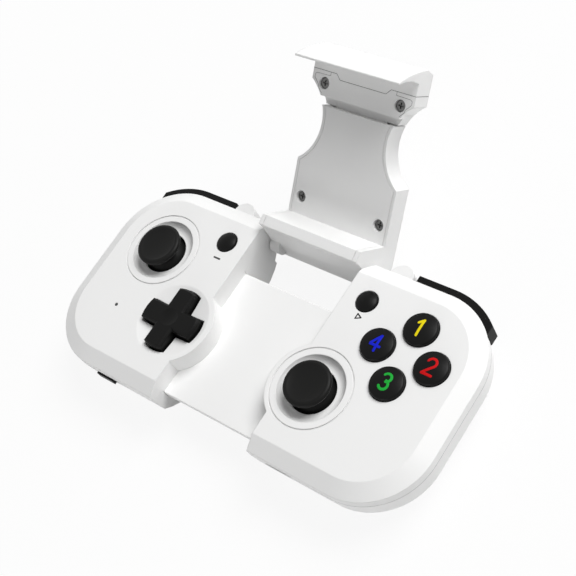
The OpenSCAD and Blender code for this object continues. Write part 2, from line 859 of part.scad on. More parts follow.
module stick_cap(x, y) {
  translate([x, y, 0]) difference() {
    union() {
      difference() {
        translate([0, 0, -pivot_depth]) sphere(r = dome_r);
        translate([-dome_r, -dome_r, -dome_rim - 2 * dome_r]) cube(2 * dome_r);
        translate([0, 0, -pivot_depth]) sphere(r = dome_r - dome_t);
      }
      translate([0, 0, -pivot_depth + dome_r - dome_t / 2])
        cylinder(r = neck_r, h = cap_proud - 2 + pivot_depth - dome_r);
      rotate_extrude() polygon([
        [0, cap_proud - 3.2],
        [neck_r, cap_proud - 3.2],
        [cap_r - 1.5, cap_proud - 2.4],
        [cap_r, cap_proud - 1.7],
        [cap_r, cap_proud - 1.2],
        [cap_r - 0.35, cap_proud - 0.4],
        [cap_r - 1.2, cap_proud],
        [cap_r - 1.8, cap_proud - 0.1],
        [cap_r - 3.4, cap_proud - 0.45],
        [0, cap_proud - 0.6]
      ]);
    }
    translate([0, 0, -pivot_depth]) cylinder(r = shaft_r, h = pivot_depth + shaft_top);
  }
}

module left_stick_base() {
  color("darkslategray") at_layout() stick_base(-upper_x, upper_y);
}

module right_stick_base() {
  color("darkslategray") at_layout() stick_base(lower_x, 0);
}

module left_stick_frame() {
  color("gainsboro") at_layout() stick_frame(-upper_x, upper_y);
}

module right_stick_frame() {
  color("gainsboro") at_layout() stick_frame(lower_x, 0);
}

module left_stick_rocker() {
  color("gray") at_layout() stick_rocker(-upper_x, upper_y);
}

module right_stick_rocker() {
  color("gray") at_layout() stick_rocker(lower_x, 0);
}

module left_stick_shaft() {
  color("slategray") at_layout() stick_shaft(-upper_x, upper_y);
}

module right_stick_shaft() {
  color("slategray") at_layout() stick_shaft(lower_x, 0);
}

module left_stick_cap() {
  color(black) at_layout() stick_cap(-upper_x, upper_y);
}

module right_stick_cap() {
  color(black) at_layout() stick_cap(lower_x, 0);
}

// Direction pad: the cross rocks left and right on a rib of the rocker plate,
// and the plate rocks up and down on a rib of the membrane's post
pad_edge = 0.7;
pad_thumb = 12;
pad_dish = 0.4;
rocker_plate_r = 6;
membrane_t = 0.8;
dome_h = 1.4;

// Section of an arm of the cross, with its bevelled top edges
module pad_section(half) {
  polygon([
    [-half, -pad_flange_top - 0.2],
    [half, -pad_flange_top - 0.2],
    [half, pad_proud - pad_edge],
    [half - pad_edge, pad_proud],
    [-half + pad_edge, pad_proud],
    [-half, pad_proud - pad_edge]
  ]);
}

module pad_cross() {
  color(black) at_layout() translate([-lower_x, 0, 0]) difference() {
    union() {
      intersection() {
        for (turn = [0, 90]) {
          rotate([90, 0, turn]) linear_extrude(pad_span + over, center = true) pad_section(pad_arm / 2);
        }
        rotate_extrude() intersection() {
          pad_section(pad_span / 2);
          translate([0, -grip_h]) square([pad_span, 2 * grip_h]);
        }
      }
      translate([0, 0, -pad_pivot]) cylinder(r = pad_flange_r, h = pad_pivot - pad_flange_top);
    }
    translate([0, 0, -pad_pivot]) rotate([90, 0, 0])
      cylinder(r = rib_r + run_gap, h = 4 * pad_flange_r, center = true);
    translate([0, 0, pad_proud + pad_thumb - pad_dish]) sphere(r = pad_thumb);
  }
}

module pad_rocker() {
  color("dimgray") at_layout() translate([-lower_x, 0, 0]) difference() {
    union() {
      translate([0, 0, -rocker_pivot]) cylinder(r = rocker_plate_r, h = rocker_pivot - rocker_top);
      translate([0, 0, -pad_pivot]) rotate([90, 0, 0]) cylinder(r = rib_r, h = rocker_plate_r, center = true);
      translate([-rib_r / 2, -rocker_plate_r / 2, -rocker_top - eps])
        cube([rib_r, rocker_plate_r, rocker_top - pad_pivot]);
    }
    translate([0, 0, -rocker_pivot]) rotate([0, 90, 0])
      cylinder(r = rib_r + run_gap, h = 4 * rocker_plate_r, center = true);
  }
}

module pad_membrane() {
  spot = 4.2;
  color("lightgray") at_layout() translate([-lower_x, 0, -board_depth]) {
    cylinder(r = rocker_plate_r - 0.2, h = membrane_t);
    cylinder(r = 1.6, h = board_depth - rocker_pivot - rib_r / 2);
    translate([0, 0, board_depth - rocker_pivot]) rotate([0, 90, 0])
      cylinder(r = rib_r, h = rocker_plate_r, center = true);
    for (s = face_spots) {
      translate([s[0] * spot, s[1] * spot, 0]) cylinder(r = 1.3, h = board_depth - rocker_pivot - 0.75);
    }
  }
}

// Buttons: a domed key with a collar under the top panel and a stem to its rubber dome
key_collar = 0.9;
key_collar_t = 0.9;
key_edge = 0.45;
key_crown = 0.25;
stem_r = 2.1;
press_gap = 0.1;

module key(x, y, r, proud, travel) {
  collar_top = -top_wall - slip_gap;
  stem_low = -board_depth + membrane_t + dome_h + travel + press_gap;
  translate([x, y, 0]) rotate_extrude() polygon([
    [0, stem_low],
    [stem_r, stem_low],
    [stem_r, collar_top - key_collar_t],
    [r + key_collar, collar_top - key_collar_t],
    [r + key_collar, collar_top],
    [r, collar_top],
    [r, proud - key_edge],
    [r - key_edge, proud],
    [r / 2, proud + 0.7 * key_crown],
    [0, proud + key_crown]
  ]);
}

module face_key(i) {
  x = upper_x + face_spots[i][0] * face_pitch;
  y = upper_y + face_spots[i][1] * face_pitch;
  key(x, y, face_r, face_proud, face_travel);
}

module front_button() {
  color(black) at_layout() face_key(0);
}

module right_button() {
  color(black) at_layout() face_key(1);
}

module back_button() {
  color(black) at_layout() face_key(2);
}

module left_button() {
  color(black) at_layout() face_key(3);
}

module select_button() {
  color(black) at_layout() key(-lower_x, menu_y, menu_r, menu_proud, menu_travel);
}

module start_button() {
  color(black) at_layout() key(lower_x, menu_y, menu_r, menu_proud, menu_travel);
}

module rubber_dome() {
  cylinder(r1 = 2.5, r2 = 1.7, h = membrane_t + dome_h);
}

module face_membrane() {
  color("lightgray") at_layout() translate([upper_x, upper_y, -board_depth]) {
    cylinder(r = face_pitch + 2.6, h = membrane_t);
    for (s = face_spots) {
      translate([s[0] * face_pitch, s[1] * face_pitch, 0]) rubber_dome();
    }
  }
}

module menu_membranes() {
  color("lightgray") at_layout() for (s = [-1, 1]) {
    translate([s * lower_x, menu_y, -board_depth]) rubber_dome();
  }
}

// Shoulder buttons, drawn on the right and mirrored to the left
module bumper() {
  z_low = -bumper_top - bumper_h;
  z_high = -bumper_top;
  arm_half = 1.2;
  difference() {
    union() {
      shoulder_band(bumper_in, -bumper_out, bumper_x, bumper_end, z_low, z_high);
      translate([bumper_pivot_x, bumper_pivot_y, z_low]) cylinder(r = eye_r, h = bumper_h);
      box_between(
        [bumper_pivot_x, bumper_pivot_y - arm_half, z_low],
        [bumper_x + over, bumper_pivot_y + arm_half, z_high]
      );
    }
    translate([bumper_pivot_x, bumper_pivot_y, z_low - over])
      cylinder(r = shoulder_pin_r + run_gap, h = bumper_h + 2 * over);
    translate([corner_x, corner_back, z_low - over]) rotate([0, 0, bumper_end]) translate([corner_r, 0, 0])
      rotate([0, 0, bumper_slant]) translate([0, -2 * bumper_out, 0])
        cube([3 * bumper_out, 2 * bumper_out, bumper_h + 2 * over]);
  }
}

module left_bumper() {
  color(black) at_layout() mirror([1, 0, 0]) bumper();
}

module right_bumper() {
  color(black) at_layout() bumper();
}

module bumper_pin() {
  translate([bumper_pivot_x, bumper_pivot_y, -hump_low + 0.2])
    cylinder(r = shoulder_pin_r, h = hump_low - bumper_top + slip_gap + 0.1);
}

module left_bumper_pin() {
  color(steel) at_layout() mirror([1, 0, 0]) bumper_pin();
}

module right_bumper_pin() {
  color(steel) at_layout() bumper_pin();
}

module trigger() {
  translate([trigger_x, trigger_pivot_y, trigger_pivot_z]) rotate([90, 0, 90]) difference() {
    union() {
      cylinder(r = trigger_barrel, h = trigger_w);
      linear_extrude(trigger_w) polygon([
        [0, trigger_barrel - 0.2],
        [0.56 * trigger_reach, trigger_barrel - 0.2],
        [0.87 * trigger_reach, 0],
        [0.98 * trigger_reach, -0.27 * trigger_toe],
        [trigger_reach, -0.55 * trigger_toe],
        [0.95 * trigger_reach, -0.82 * trigger_toe],
        [0.79 * trigger_reach, -trigger_toe],
        [0.65 * trigger_reach, -0.97 * trigger_toe],
        [0.76 * trigger_reach, -0.64 * trigger_toe],
        [0.69 * trigger_reach, -0.26 * trigger_toe],
        [0, -trigger_barrel + 0.2]
      ]);
    }
    translate([0, 0, -over]) cylinder(r = shoulder_pin_r + run_gap, h = trigger_w + 2 * over);
  }
}

module left_trigger() {
  color(black) at_layout() mirror([1, 0, 0]) trigger();
}

module right_trigger() {
  color(black) at_layout() trigger();
}

module trigger_pin() {
  translate([trigger_x - trigger_pin_in, trigger_pivot_y, trigger_pivot_z]) rotate([0, 90, 0])
    cylinder(r = shoulder_pin_r, h = trigger_w + 2 * trigger_pin_in);
}

module left_trigger_pin() {
  color(steel) at_layout() mirror([1, 0, 0]) trigger_pin();
}

module right_trigger_pin() {
  color(steel) at_layout() trigger_pin();
}

module shoulder_switches() {
  switch_w = 4;
  switch_h = 2.6;
  switch_t = 0.6;
  switch_x = trigger_x + (trigger_w - switch_w) / 2;
  color("darkslategray") at_layout() for (s = [0, 1]) {
    mirror([s, 0, 0]) {
      box_between(
        [switch_x, back_len - recess_back, -bumper_top - bumper_h / 2 - switch_h / 2],
        [switch_x + switch_w, back_len - recess_back + switch_t, -bumper_top - bumper_h / 2 + switch_h / 2]
      );
      box_between(
        [switch_x, back_len - trigger_recess_in, trigger_pivot_z - trigger_barrel - 0.4 - switch_h],
        [switch_x + switch_w, back_len - trigger_recess_in + switch_t, trigger_pivot_z - trigger_barrel - 0.4]
      );
    }
  }
}

// Clamp, drawn flat in its own frame
panel_screws = [clamp_half - 3.9, ledge_u + 5.7];
head_low = jaw_start + 1;
head_high = jaw_seam - seam_step - 0.6;
head_screws = [clamp_half - 4.9, head_high - 1.6];
head_seat_up = 0.5;
cheek_t = 1.5;
cup_r = 2.9;
cup_low = plate_front - panel_t - 1.5;
cup_floor = 0.8;
panel_shank = 2.8;
head_shank = 2.4;
tongue_half = waist_half - pocket_in - 0.4;
tongue_front = plate_front - panel_t - slip_gap - 0.4;
tongue_t = 1.3;
tongue_hold = 5.6;
tongue_low = fixed_end - jaw_travel - tongue_hold;
pocket_low = tongue_low - 0.6;
spring_r = 0.75;
spring_x = 6;
hook_r = 0.6;
spring_end = 40;
anchor_u = tongue_low + 1;

module plate_plan(inset, low, high) {
  difference() {
    translate([-clamp_half + inset, low]) square([2 * (clamp_half - inset), high - low]);
    for (s = [-1, 1]) {
      translate([s * lower_x, waist_u]) circle(r = waist_r + inset);
    }
  }
}

// Side outline, y up along the plate and z out of it, drawn across half_x on both sides
module across(half_x) {
  translate([-half_x, 0, 0]) rotate([90, 0, 90]) linear_extrude(2 * half_x) children();
}

module ledge_side() {
  polygon([
    [ledge_low, plate_front - eps],
    [ledge_u, plate_front - eps],
    [ledge_u, ridge_w],
    [ledge_u - nose_drop, nose_w],
    [ledge_low, nose_w - 2.6]
  ]);
}

module clamp_back() {
  color(white) at_clamp() difference() {
    union() {
      difference() {
        union() {
          translate([0, 0, plate_back]) linear_extrude(plate_t) plate_plan(0, ledge_u, fixed_end);
          across(clamp_half) polygon([
            [ledge_u + 1, plate_back],
            [3, plate_back],
            [-2.2, plate_back + 2.6],
            [-3.6, -2.8],
            [-1.4, -0.4],
            [ledge_low, nose_w - 2.6],
            [ledge_low, plate_front],
            [ledge_u + 1, plate_front]
          ]);
          for (s = [-1, 1]) {
            translate([s * (clamp_half - cheek_t / 2), 0, 0]) across(cheek_t / 2) ledge_side();
            translate([s * (clamp_half - ear_w / 2), 0, 0]) rotate([0, 90, 0])
              cylinder(r = ear_r, h = ear_w, center = true);
          }
        }
        translate([0, 0, plate_front - panel_t]) linear_extrude(panel_t + eps)
          plate_plan(rim, ledge_low, fixed_end + over);
        translate([0, 0, plate_back + back_skin]) linear_extrude(plate_t) intersection() {
          plate_plan(pocket_in, pocket_low, fixed_end + over);
          translate([-clamp_half, pocket_low]) square([2 * clamp_half, fixed_end]);
        }
      }
      for (s = [-1, 1]) {
        translate([s * panel_screws[0], panel_screws[1], plate_back + eps])
          cylinder(r = cup_r - 0.3, h = cup_low - plate_back - eps);
        translate([s * spring_x, anchor_u, plate_back + eps]) cylinder(r = hook_r, h = back_skin + 1.4);
      }
    }
    for (s = [-1, 1]) {
      translate([s * panel_screws[0], panel_screws[1], cup_low]) cylinder(r = cup_r + 0.1, h = plate_t);
      translate([s * panel_screws[0], panel_screws[1], cup_low - 2.4]) cylinder(r = screw_r, h = plate_t);
      translate([s * (clamp_half - ear_w + 0.1), 0, 0]) rotate([0, s * 90, 0])
        cylinder(r = hinge_pin_r, h = ear_w + over);
    }
  }
}

module clamp_front() {
  color(white) at_clamp() difference() {
    union() {
      translate([0, 0, plate_front - panel_t]) linear_extrude(panel_t)
        plate_plan(rim + rim_gap, ledge_low, fixed_end);
      across(clamp_half - cheek_t - rim_gap) ledge_side();
      for (s = [-1, 1]) {
        translate([s * panel_screws[0], panel_screws[1], cup_low])
          cylinder(r = cup_r, h = plate_front - panel_t / 2 - cup_low);
      }
    }
    for (s = [-1, 1]) {
      translate([s * panel_screws[0], panel_screws[1], cup_low + cup_floor])
        cylinder(r = screw_head_r + 0.2, h = plate_t);
      translate([s * panel_screws[0], panel_screws[1], cup_low - over])
        cylinder(r = screw_r + 0.15, h = plate_t);
    }
  }
}

module clamp_screws() {
  color(steel) at_clamp() for (s = [-1, 1]) {
    translate([s * panel_screws[0], panel_screws[1], cup_low + cup_floor]) rotate([180, 0, 0])
      screw(panel_shank);
  }
}

module clamp_springs() {
  start = anchor_u + 0.8;
  color(steel) at_clamp() for (s = [-1, 1]) {
    translate([s * spring_x, start, plate_back + back_skin + spring_r + 0.1]) rotate([-90, 0, 0])
      difference() {
        cylinder(r = spring_r, h = spring_end - start);
        translate([0, 0, -over]) cylinder(r = spring_r - 0.3, h = spring_end);
      }
  }
}

// Sliding jaw
head_half = clamp_half - 3.4;
head_back = plate_back + back_skin + 0.4;
head_front = tongue_front;

module jaw_tongue() {
  color(white) at_clamp() difference() {
    union() {
      box_between(
        [-tongue_half, tongue_low, tongue_front - tongue_t],
        [tongue_half, head_high, tongue_front]
      );
      box_between([-head_half, head_low, head_back], [head_half, head_high, head_front]);
      for (s = [-1, 1]) {
        translate([s * spring_x, spring_end + 0.8, tongue_front - tongue_t - 1.5])
          cylinder(r = hook_r, h = 2);
      }
    }
    for (s = [-1, 1]) {
      translate([s * head_screws[0], head_screws[1], head_back - over]) cylinder(r = screw_r, h = plate_t);
    }
  }
}

// Everything below the stepped seam of the jaw head
module below_seam(grow) {
  translate([0, 0, plate_back - over]) linear_extrude(plate_t + lip_reach + 2 * over) polygon([
    [-clamp_half - over, fixed_end],
    [clamp_half + over, fixed_end],
    [clamp_half + over, jaw_seam + grow],
    [clamp_half - 9, jaw_seam + grow],
    [clamp_half - 10.6, jaw_seam - seam_step + grow],
    [-clamp_half + 10.6, jaw_seam - seam_step + grow],
    [-clamp_half + 9, jaw_seam + grow],
    [-clamp_half - over, jaw_seam + grow]
  ]);
}

module jaw_base() {
  color(white) at_clamp() difference() {
    union() {
      intersection() {
        translate([0, 0, plate_back]) linear_extrude(plate_t) plate_plan(0, jaw_start, jaw_seam + over);
        below_seam(0);
      }
      translate([0, 0, plate_back]) linear_extrude(tongue_front - plate_back)
        plate_plan(0, fixed_end + slip_gap, jaw_start + eps);
    }
    box_between([-head_half, head_low, head_back], [head_half, head_high, head_front]);
    box_between(
      [-tongue_half, fixed_end, tongue_front - tongue_t],
      [tongue_half, head_low + eps, tongue_front]
    );
    for (s = [-1, 1]) {
      translate([s * head_screws[0], head_screws[1], head_front + head_seat_up])
        cylinder(r = screw_head_r + 0.2, h = plate_t);
      translate([s * head_screws[0], head_screws[1], head_front - over])
        cylinder(r = screw_r + 0.15, h = plate_t);
    }
  }
}

lip_sag = 0.9;
lip_bow = 0.6;
lip_peak_w = plate_back + 3.2;

module lip_side() {
  steps = 6;
  tip_u = lip_u - 0.2;
  polygon(concat(
    [[jaw_seam - seam_step - 0.2, plate_back], [jaw_seam - seam_step - 0.2, plate_front]],
    [
      for (i = [0 : steps])
        let (t = i / steps)
        [lip_u + (tip_u - lip_u) * t + 4 * lip_sag * t * (1 - t), plate_front + lip_reach * t]
    ],
    [
      for (i = [0 : steps])
        let (t = i / steps)
        [
          tip_u + lip_tip_t + (jaw_top - tip_u - lip_tip_t) * t + 4 * lip_bow * t * (1 - t),
          lip_tip_w + (lip_peak_w - lip_tip_w) * t
        ]
    ],
    [[back_corner_u, plate_back]]
  ));
}

module jaw_lip() {
  color(white) at_clamp() difference() {
    across(clamp_half) lip_side();
    below_seam(0);
  }
}

module jaw_screws() {
  color(steel) at_clamp() for (s = [-1, 1]) {
    translate([s * head_screws[0], head_screws[1], head_front + head_seat_up]) rotate([180, 0, 0])
      screw(head_shank);
  }
}

left_top_casing();
left_bottom_casing();
right_top_casing();
right_bottom_casing();
tray();
tray_cover();
flex_cable();
left_board();
right_board();
battery();
left_casing_screws();
right_casing_screws();
hinge_pins();
charging_port();
switch_body();
switch_knob();
lamp_pipe();
left_stick_base();
right_stick_base();
left_stick_frame();
right_stick_frame();
left_stick_rocker();
right_stick_rocker();
left_stick_shaft();
right_stick_shaft();
left_stick_cap();
right_stick_cap();
pad_cross();
pad_rocker();
pad_membrane();
face_membrane();
menu_membranes();
front_button();
right_button();
back_button();
left_button();
select_button();
start_button();
left_bumper();
right_bumper();
left_bumper_pin();
right_bumper_pin();
left_trigger();
right_trigger();
left_trigger_pin();
right_trigger_pin();
shoulder_switches();
clamp_back();
clamp_front();
clamp_screws();
clamp_springs();
jaw_tongue();
jaw_base();
jaw_lip();
jaw_screws();
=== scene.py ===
"""Looks of a folding mobile game controller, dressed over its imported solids."""
from __future__ import annotations

import json
import logging
from dataclasses import dataclass, field
from enum import Enum
from typing import Sequence

import bpy
import numpy as np
from mathutils import Matrix, Vector

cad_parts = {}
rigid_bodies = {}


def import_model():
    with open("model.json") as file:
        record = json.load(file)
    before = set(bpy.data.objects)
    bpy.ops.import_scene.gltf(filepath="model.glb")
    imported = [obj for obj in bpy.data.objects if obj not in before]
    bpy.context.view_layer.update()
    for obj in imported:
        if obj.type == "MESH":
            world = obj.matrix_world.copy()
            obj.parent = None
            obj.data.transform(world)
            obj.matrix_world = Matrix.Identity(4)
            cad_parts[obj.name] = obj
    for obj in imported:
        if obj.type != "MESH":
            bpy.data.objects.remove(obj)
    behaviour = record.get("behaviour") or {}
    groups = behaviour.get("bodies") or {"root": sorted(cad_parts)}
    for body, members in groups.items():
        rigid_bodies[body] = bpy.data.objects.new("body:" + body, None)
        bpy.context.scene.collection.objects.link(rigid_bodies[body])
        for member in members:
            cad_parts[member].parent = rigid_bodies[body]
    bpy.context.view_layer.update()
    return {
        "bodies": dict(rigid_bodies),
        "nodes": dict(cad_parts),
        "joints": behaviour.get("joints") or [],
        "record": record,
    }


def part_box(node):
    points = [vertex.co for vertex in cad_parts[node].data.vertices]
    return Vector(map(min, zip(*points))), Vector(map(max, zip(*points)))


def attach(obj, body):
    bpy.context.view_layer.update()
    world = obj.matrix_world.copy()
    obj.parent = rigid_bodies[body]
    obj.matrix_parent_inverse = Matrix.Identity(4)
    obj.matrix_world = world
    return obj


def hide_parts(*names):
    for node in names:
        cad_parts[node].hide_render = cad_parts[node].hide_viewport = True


LOG = logging.getLogger("controller")
MM = 0.001
# Section of a raised band: its points' places across the half width, and their heights in proud heights
ACROSS = np.array([1.0, 0.94, 0.5, 0.0, -0.5, -0.94, -1.0, 0.0])
LIFT = np.array([-1.0, 1.0, 1.0, 1.0, 1.0, 1.0, -1.0, -1.0])
# Most of a side that the rounding of one corner may take
ROUND_SHARE = 0.49
# Keeps a point in the plane when a height is added to it
FLAT = np.array([1.0, 1.0, 0.0])


class Mark(Enum):
    """The plain number that is printed on a face button."""

    ONE = "1"
    TWO = "2"
    THREE = "3"
    FOUR = "4"


class Slot(Enum):
    """The record's material slots."""

    SHELL = "shell_white"
    KEY = "key_black"
    STICK = "stick_rubber"
    GEAR = "gear_plastic"
    STEEL = "steel"
    SCREW = "screw_dark"
    BOARD = "board_green"
    MEMBRANE = "membrane_grey"
    BATTERY = "battery_wrap"
    FLEX = "flex_film"
    LAMP = "lamp_clear"


# Surfaces


@dataclass(frozen=True)
class Surface:
    """Points with the four-sided and three-sided faces that join them, all turning outwards."""

    points: np.ndarray
    quads: np.ndarray
    tris: np.ndarray = field(default_factory=lambda: np.zeros((0, 3), int))

    def moved(self, points: np.ndarray) -> Surface:
        """The same faces on other points."""
        return Surface(points, self.quads, self.tris)

    def flipped(self) -> Surface:
        """The same points with every face turned over."""
        return Surface(self.points, self.quads[:, ::-1], self.tris[:, ::-1])

    @staticmethod
    def joined(parts: Sequence[Surface]) -> Surface:
        """Join surfaces into one.

        Args:
            parts: the surfaces, whose points keep their order.

        Returns:
            One surface, with each part's point numbers moved up by the points before it.
        """
        starts = np.cumsum([0] + [len(p.points) for p in parts[:-1]])
        return Surface(
            np.vstack([p.points for p in parts]),
            np.vstack([p.quads + s for p, s in zip(parts, starts)]),
            np.vstack([p.tris + s for p, s in zip(parts, starts)]),
        )

    def piece(self, name: str, smooth: bool = True) -> bpy.types.Object:
        """Make a new object at the origin from points in metres.

        Args:
            name: name of the piece.
            smooth: whether the faces are shaded smooth.

        Returns:
            The linked object.
        """
        mesh = bpy.data.meshes.new(name)
        mesh.from_pydata(self.points.tolist(), [], self.quads.tolist() + self.tris.tolist())
        mesh.polygons.foreach_set("use_smooth", np.full(len(mesh.polygons), smooth))
        mesh.update()
        made = bpy.data.objects.new(name, mesh)
        bpy.context.scene.collection.objects.link(made)
        return made


def band_faces(rows: int, cols: int) -> np.ndarray:
    """Faces between rows of points, each row closed on itself.

    Args:
        rows: how many rows.
        cols: points in a row.

    Returns:
        Point numbers, four to a face.
    """
    first = np.arange(rows - 1)[:, None] * cols
    here = np.arange(cols)
    after = (here + 1) % cols
    faces = np.stack([first + here, first + after, first + cols + after, first + cols + here], axis=-1)
    return faces.reshape(-1, 4)


def turned(profile: np.ndarray, segments: int = 96) -> Surface:
    """Turn a profile round the upright axis: (r, z) goes to (r cos t, r sin t, z).

    Args:
        profile: rows of (radius, height), from the lower pole to the upper pole, both on the axis.
        segments: steps round the axis.

    Returns:
        A closed surface.
    """
    t = np.linspace(0.0, 2.0 * np.pi, segments, endpoint=False)
    r, z = profile[1:-1, :1], profile[1:-1, 1:]
    rings = np.stack([r * np.cos(t), r * np.sin(t), np.repeat(z, segments, axis=1)], axis=-1)
    poles = np.array([(0.0, 0.0, profile[0, 1]), (0.0, 0.0, profile[-1, 1])])
    count = len(r) * segments
    here = np.arange(segments)
    after = (here + 1) % segments
    last = count - segments
    low = np.stack([np.full(segments, count), after, here], axis=-1)
    high = np.stack([np.full(segments, count + 1), last + here, last + after], axis=-1)
    points = np.vstack([rings.reshape(-1, 3), poles])
    return Surface(points, band_faces(len(r), segments), np.vstack([low, high]))


def rounded(corners: Sequence[tuple[float, float, float]], steps: int = 8) -> np.ndarray:
    """Round the corners of a profile: each becomes a quadratic arc between a point on each of its sides.

    Args:
        corners: rows of (r, z, rounding), the rounding being how far the arc reaches along each side.
        steps: points on each arc.

    Returns:
        The smooth profile as rows of (r, z).
    """
    pts = np.array([c[:2] for c in corners], float)
    out = [pts[:1]]
    w = np.linspace(0.0, 1.0, steps)[:, None]
    for n in range(1, len(pts) - 1):
        reach = corners[n][2]
        if reach <= 0.0:
            out.append(pts[n : n + 1])
            continue
        before, after = pts[n - 1] - pts[n], pts[n + 1] - pts[n]
        a = pts[n] + before * min(reach / np.linalg.norm(before), ROUND_SHARE)
        b = pts[n] + after * min(reach / np.linalg.norm(after), ROUND_SHARE)
        out.append((1 - w) ** 2 * a + 2 * w * (1 - w) * pts[n] + w**2 * b)
    out.append(pts[-1:])
    return np.vstack(out)


def strip(path: np.ndarray, half_w: float, proud: float, steps: int = 48) -> Surface:
    """Lay a low closed band along a flat path; its half width closes in a half circle at both ends.

    A point is the path's point plus the half width times its place across, along the path's left-hand side.
    Its height is the proud height on top, and as much below the surface at the edges and underneath.

    Args:
        path: points of the path, one row each.
        half_w: half of the band's width.
        proud: height of the band's top.
        steps: points along the band.

    Returns:
        The band, with its height as the third coordinate.
    """
    leg = np.diff(path, axis=0)
    run = np.concatenate([[0.0], np.cumsum(np.linalg.norm(leg, axis=1))])
    s = np.linspace(-half_w, run[-1] + half_w, steps)
    inside = np.clip(s, 0.0, run[-1])
    pos = np.stack([np.interp(inside, run, path[:, k]) for k in (0, 1)], axis=1)
    unit = leg / np.linalg.norm(leg, axis=1, keepdims=True)
    step = np.gradient(pos, axis=0)
    tangent = step / np.maximum(np.linalg.norm(step, axis=1, keepdims=True), 1e-12)
    tangent[s <= 0.0] = unit[0]
    tangent[s >= run[-1]] = unit[-1]
    past = s - inside
    width = np.sqrt(np.maximum(half_w**2 - past**2, 0.0))
    left = np.stack([-tangent[:, 1], tangent[:, 0]], axis=1)
    middle = pos + tangent * past[:, None]
    flat = middle[:, None, :] + left[:, None, :] * (width[:, None] * ACROSS)[..., None]
    height = np.tile(proud * LIFT, (steps, 1))[..., None]
    points = np.concatenate([flat, height], axis=-1).reshape(-1, 3)
    return Surface(points, band_faces(steps, len(ACROSS)))


@dataclass(frozen=True)
class Place:
    """An origin in the shared frame and three axes, along which points are given in millimetres."""

    origin: np.ndarray
    axes: np.ndarray

    def carried(self, surface: Surface) -> Surface:
        """Carry a surface into the shared frame: the origin plus each coordinate times its axis."""
        return surface.moved(self.origin + surface.points @ self.axes * MM)

    def local(self, point: Vector) -> np.ndarray:
        """Bring a point of the shared frame here: its offset from the origin along each axis."""
        return self.axes @ (np.array(point) - self.origin) / MM

    @staticmethod
    def grips() -> Place:
        """The grips: from the mid-plane, the row of the right stick and the level of the tops.

        Returns:
            A place with the shared frame's own axes.
        """
        low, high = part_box("right_stick_cap")
        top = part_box("right_top_casing")[1].z
        return Place(np.array([0.0, (low.y + high.y) / 2, top]), np.eye(3))

    @staticmethod
    def clamp(frame: dict) -> Place:
        """The clamp: from its hinge, across, up the plate and out of its front.

        Args:
            frame: the loaded frame.

        Returns:
            A place whose second axis is the way that the jaw slides.
        """
        joints = {j["name"]: j for j in frame["joints"]}
        across = np.array(joints["clamp_fold"]["axis"], float)
        up = np.array(joints["jaw_slide"]["axis"], float)
        hinge = np.array(joints["clamp_fold"]["pos_m"], float)
        return Place(hinge, np.stack([across, up, np.cross(across, up)]))


# Finishes


class ShaderGroups:
    """Node groups that several finishes share."""

    @staticmethod
    def grain() -> bpy.types.NodeTree:
        """Moulded grain: a fine noise as a height, and a wide noise as a cloud about one half.

        Returns:
            The node group, made once.
        """
        name = "moulded_grain"
        if name in bpy.data.node_groups:
            return bpy.data.node_groups[name]
        group = bpy.data.node_groups.new(name, "ShaderNodeTree")
        group.interface.new_socket("Vector", in_out="INPUT", socket_type="NodeSocketVector")
        src = group.nodes.new("NodeGroupInput")
        dst = group.nodes.new("NodeGroupOutput")
        for scale, out, detail in (("Grain scale", "Height", 3.0), ("Cloud scale", "Cloud", 4.0)):
            group.interface.new_socket(scale, in_out="INPUT", socket_type="NodeSocketFloat")
            group.interface.new_socket(out, in_out="OUTPUT", socket_type="NodeSocketFloat")
            noise = group.nodes.new("ShaderNodeTexNoise")
            noise.inputs["Detail"].default_value = detail
            group.links.new(src.outputs["Vector"], noise.inputs["Vector"])
            group.links.new(src.outputs[scale], noise.inputs["Scale"])
            group.links.new(noise.outputs["Fac"], dst.inputs[out])
        return group


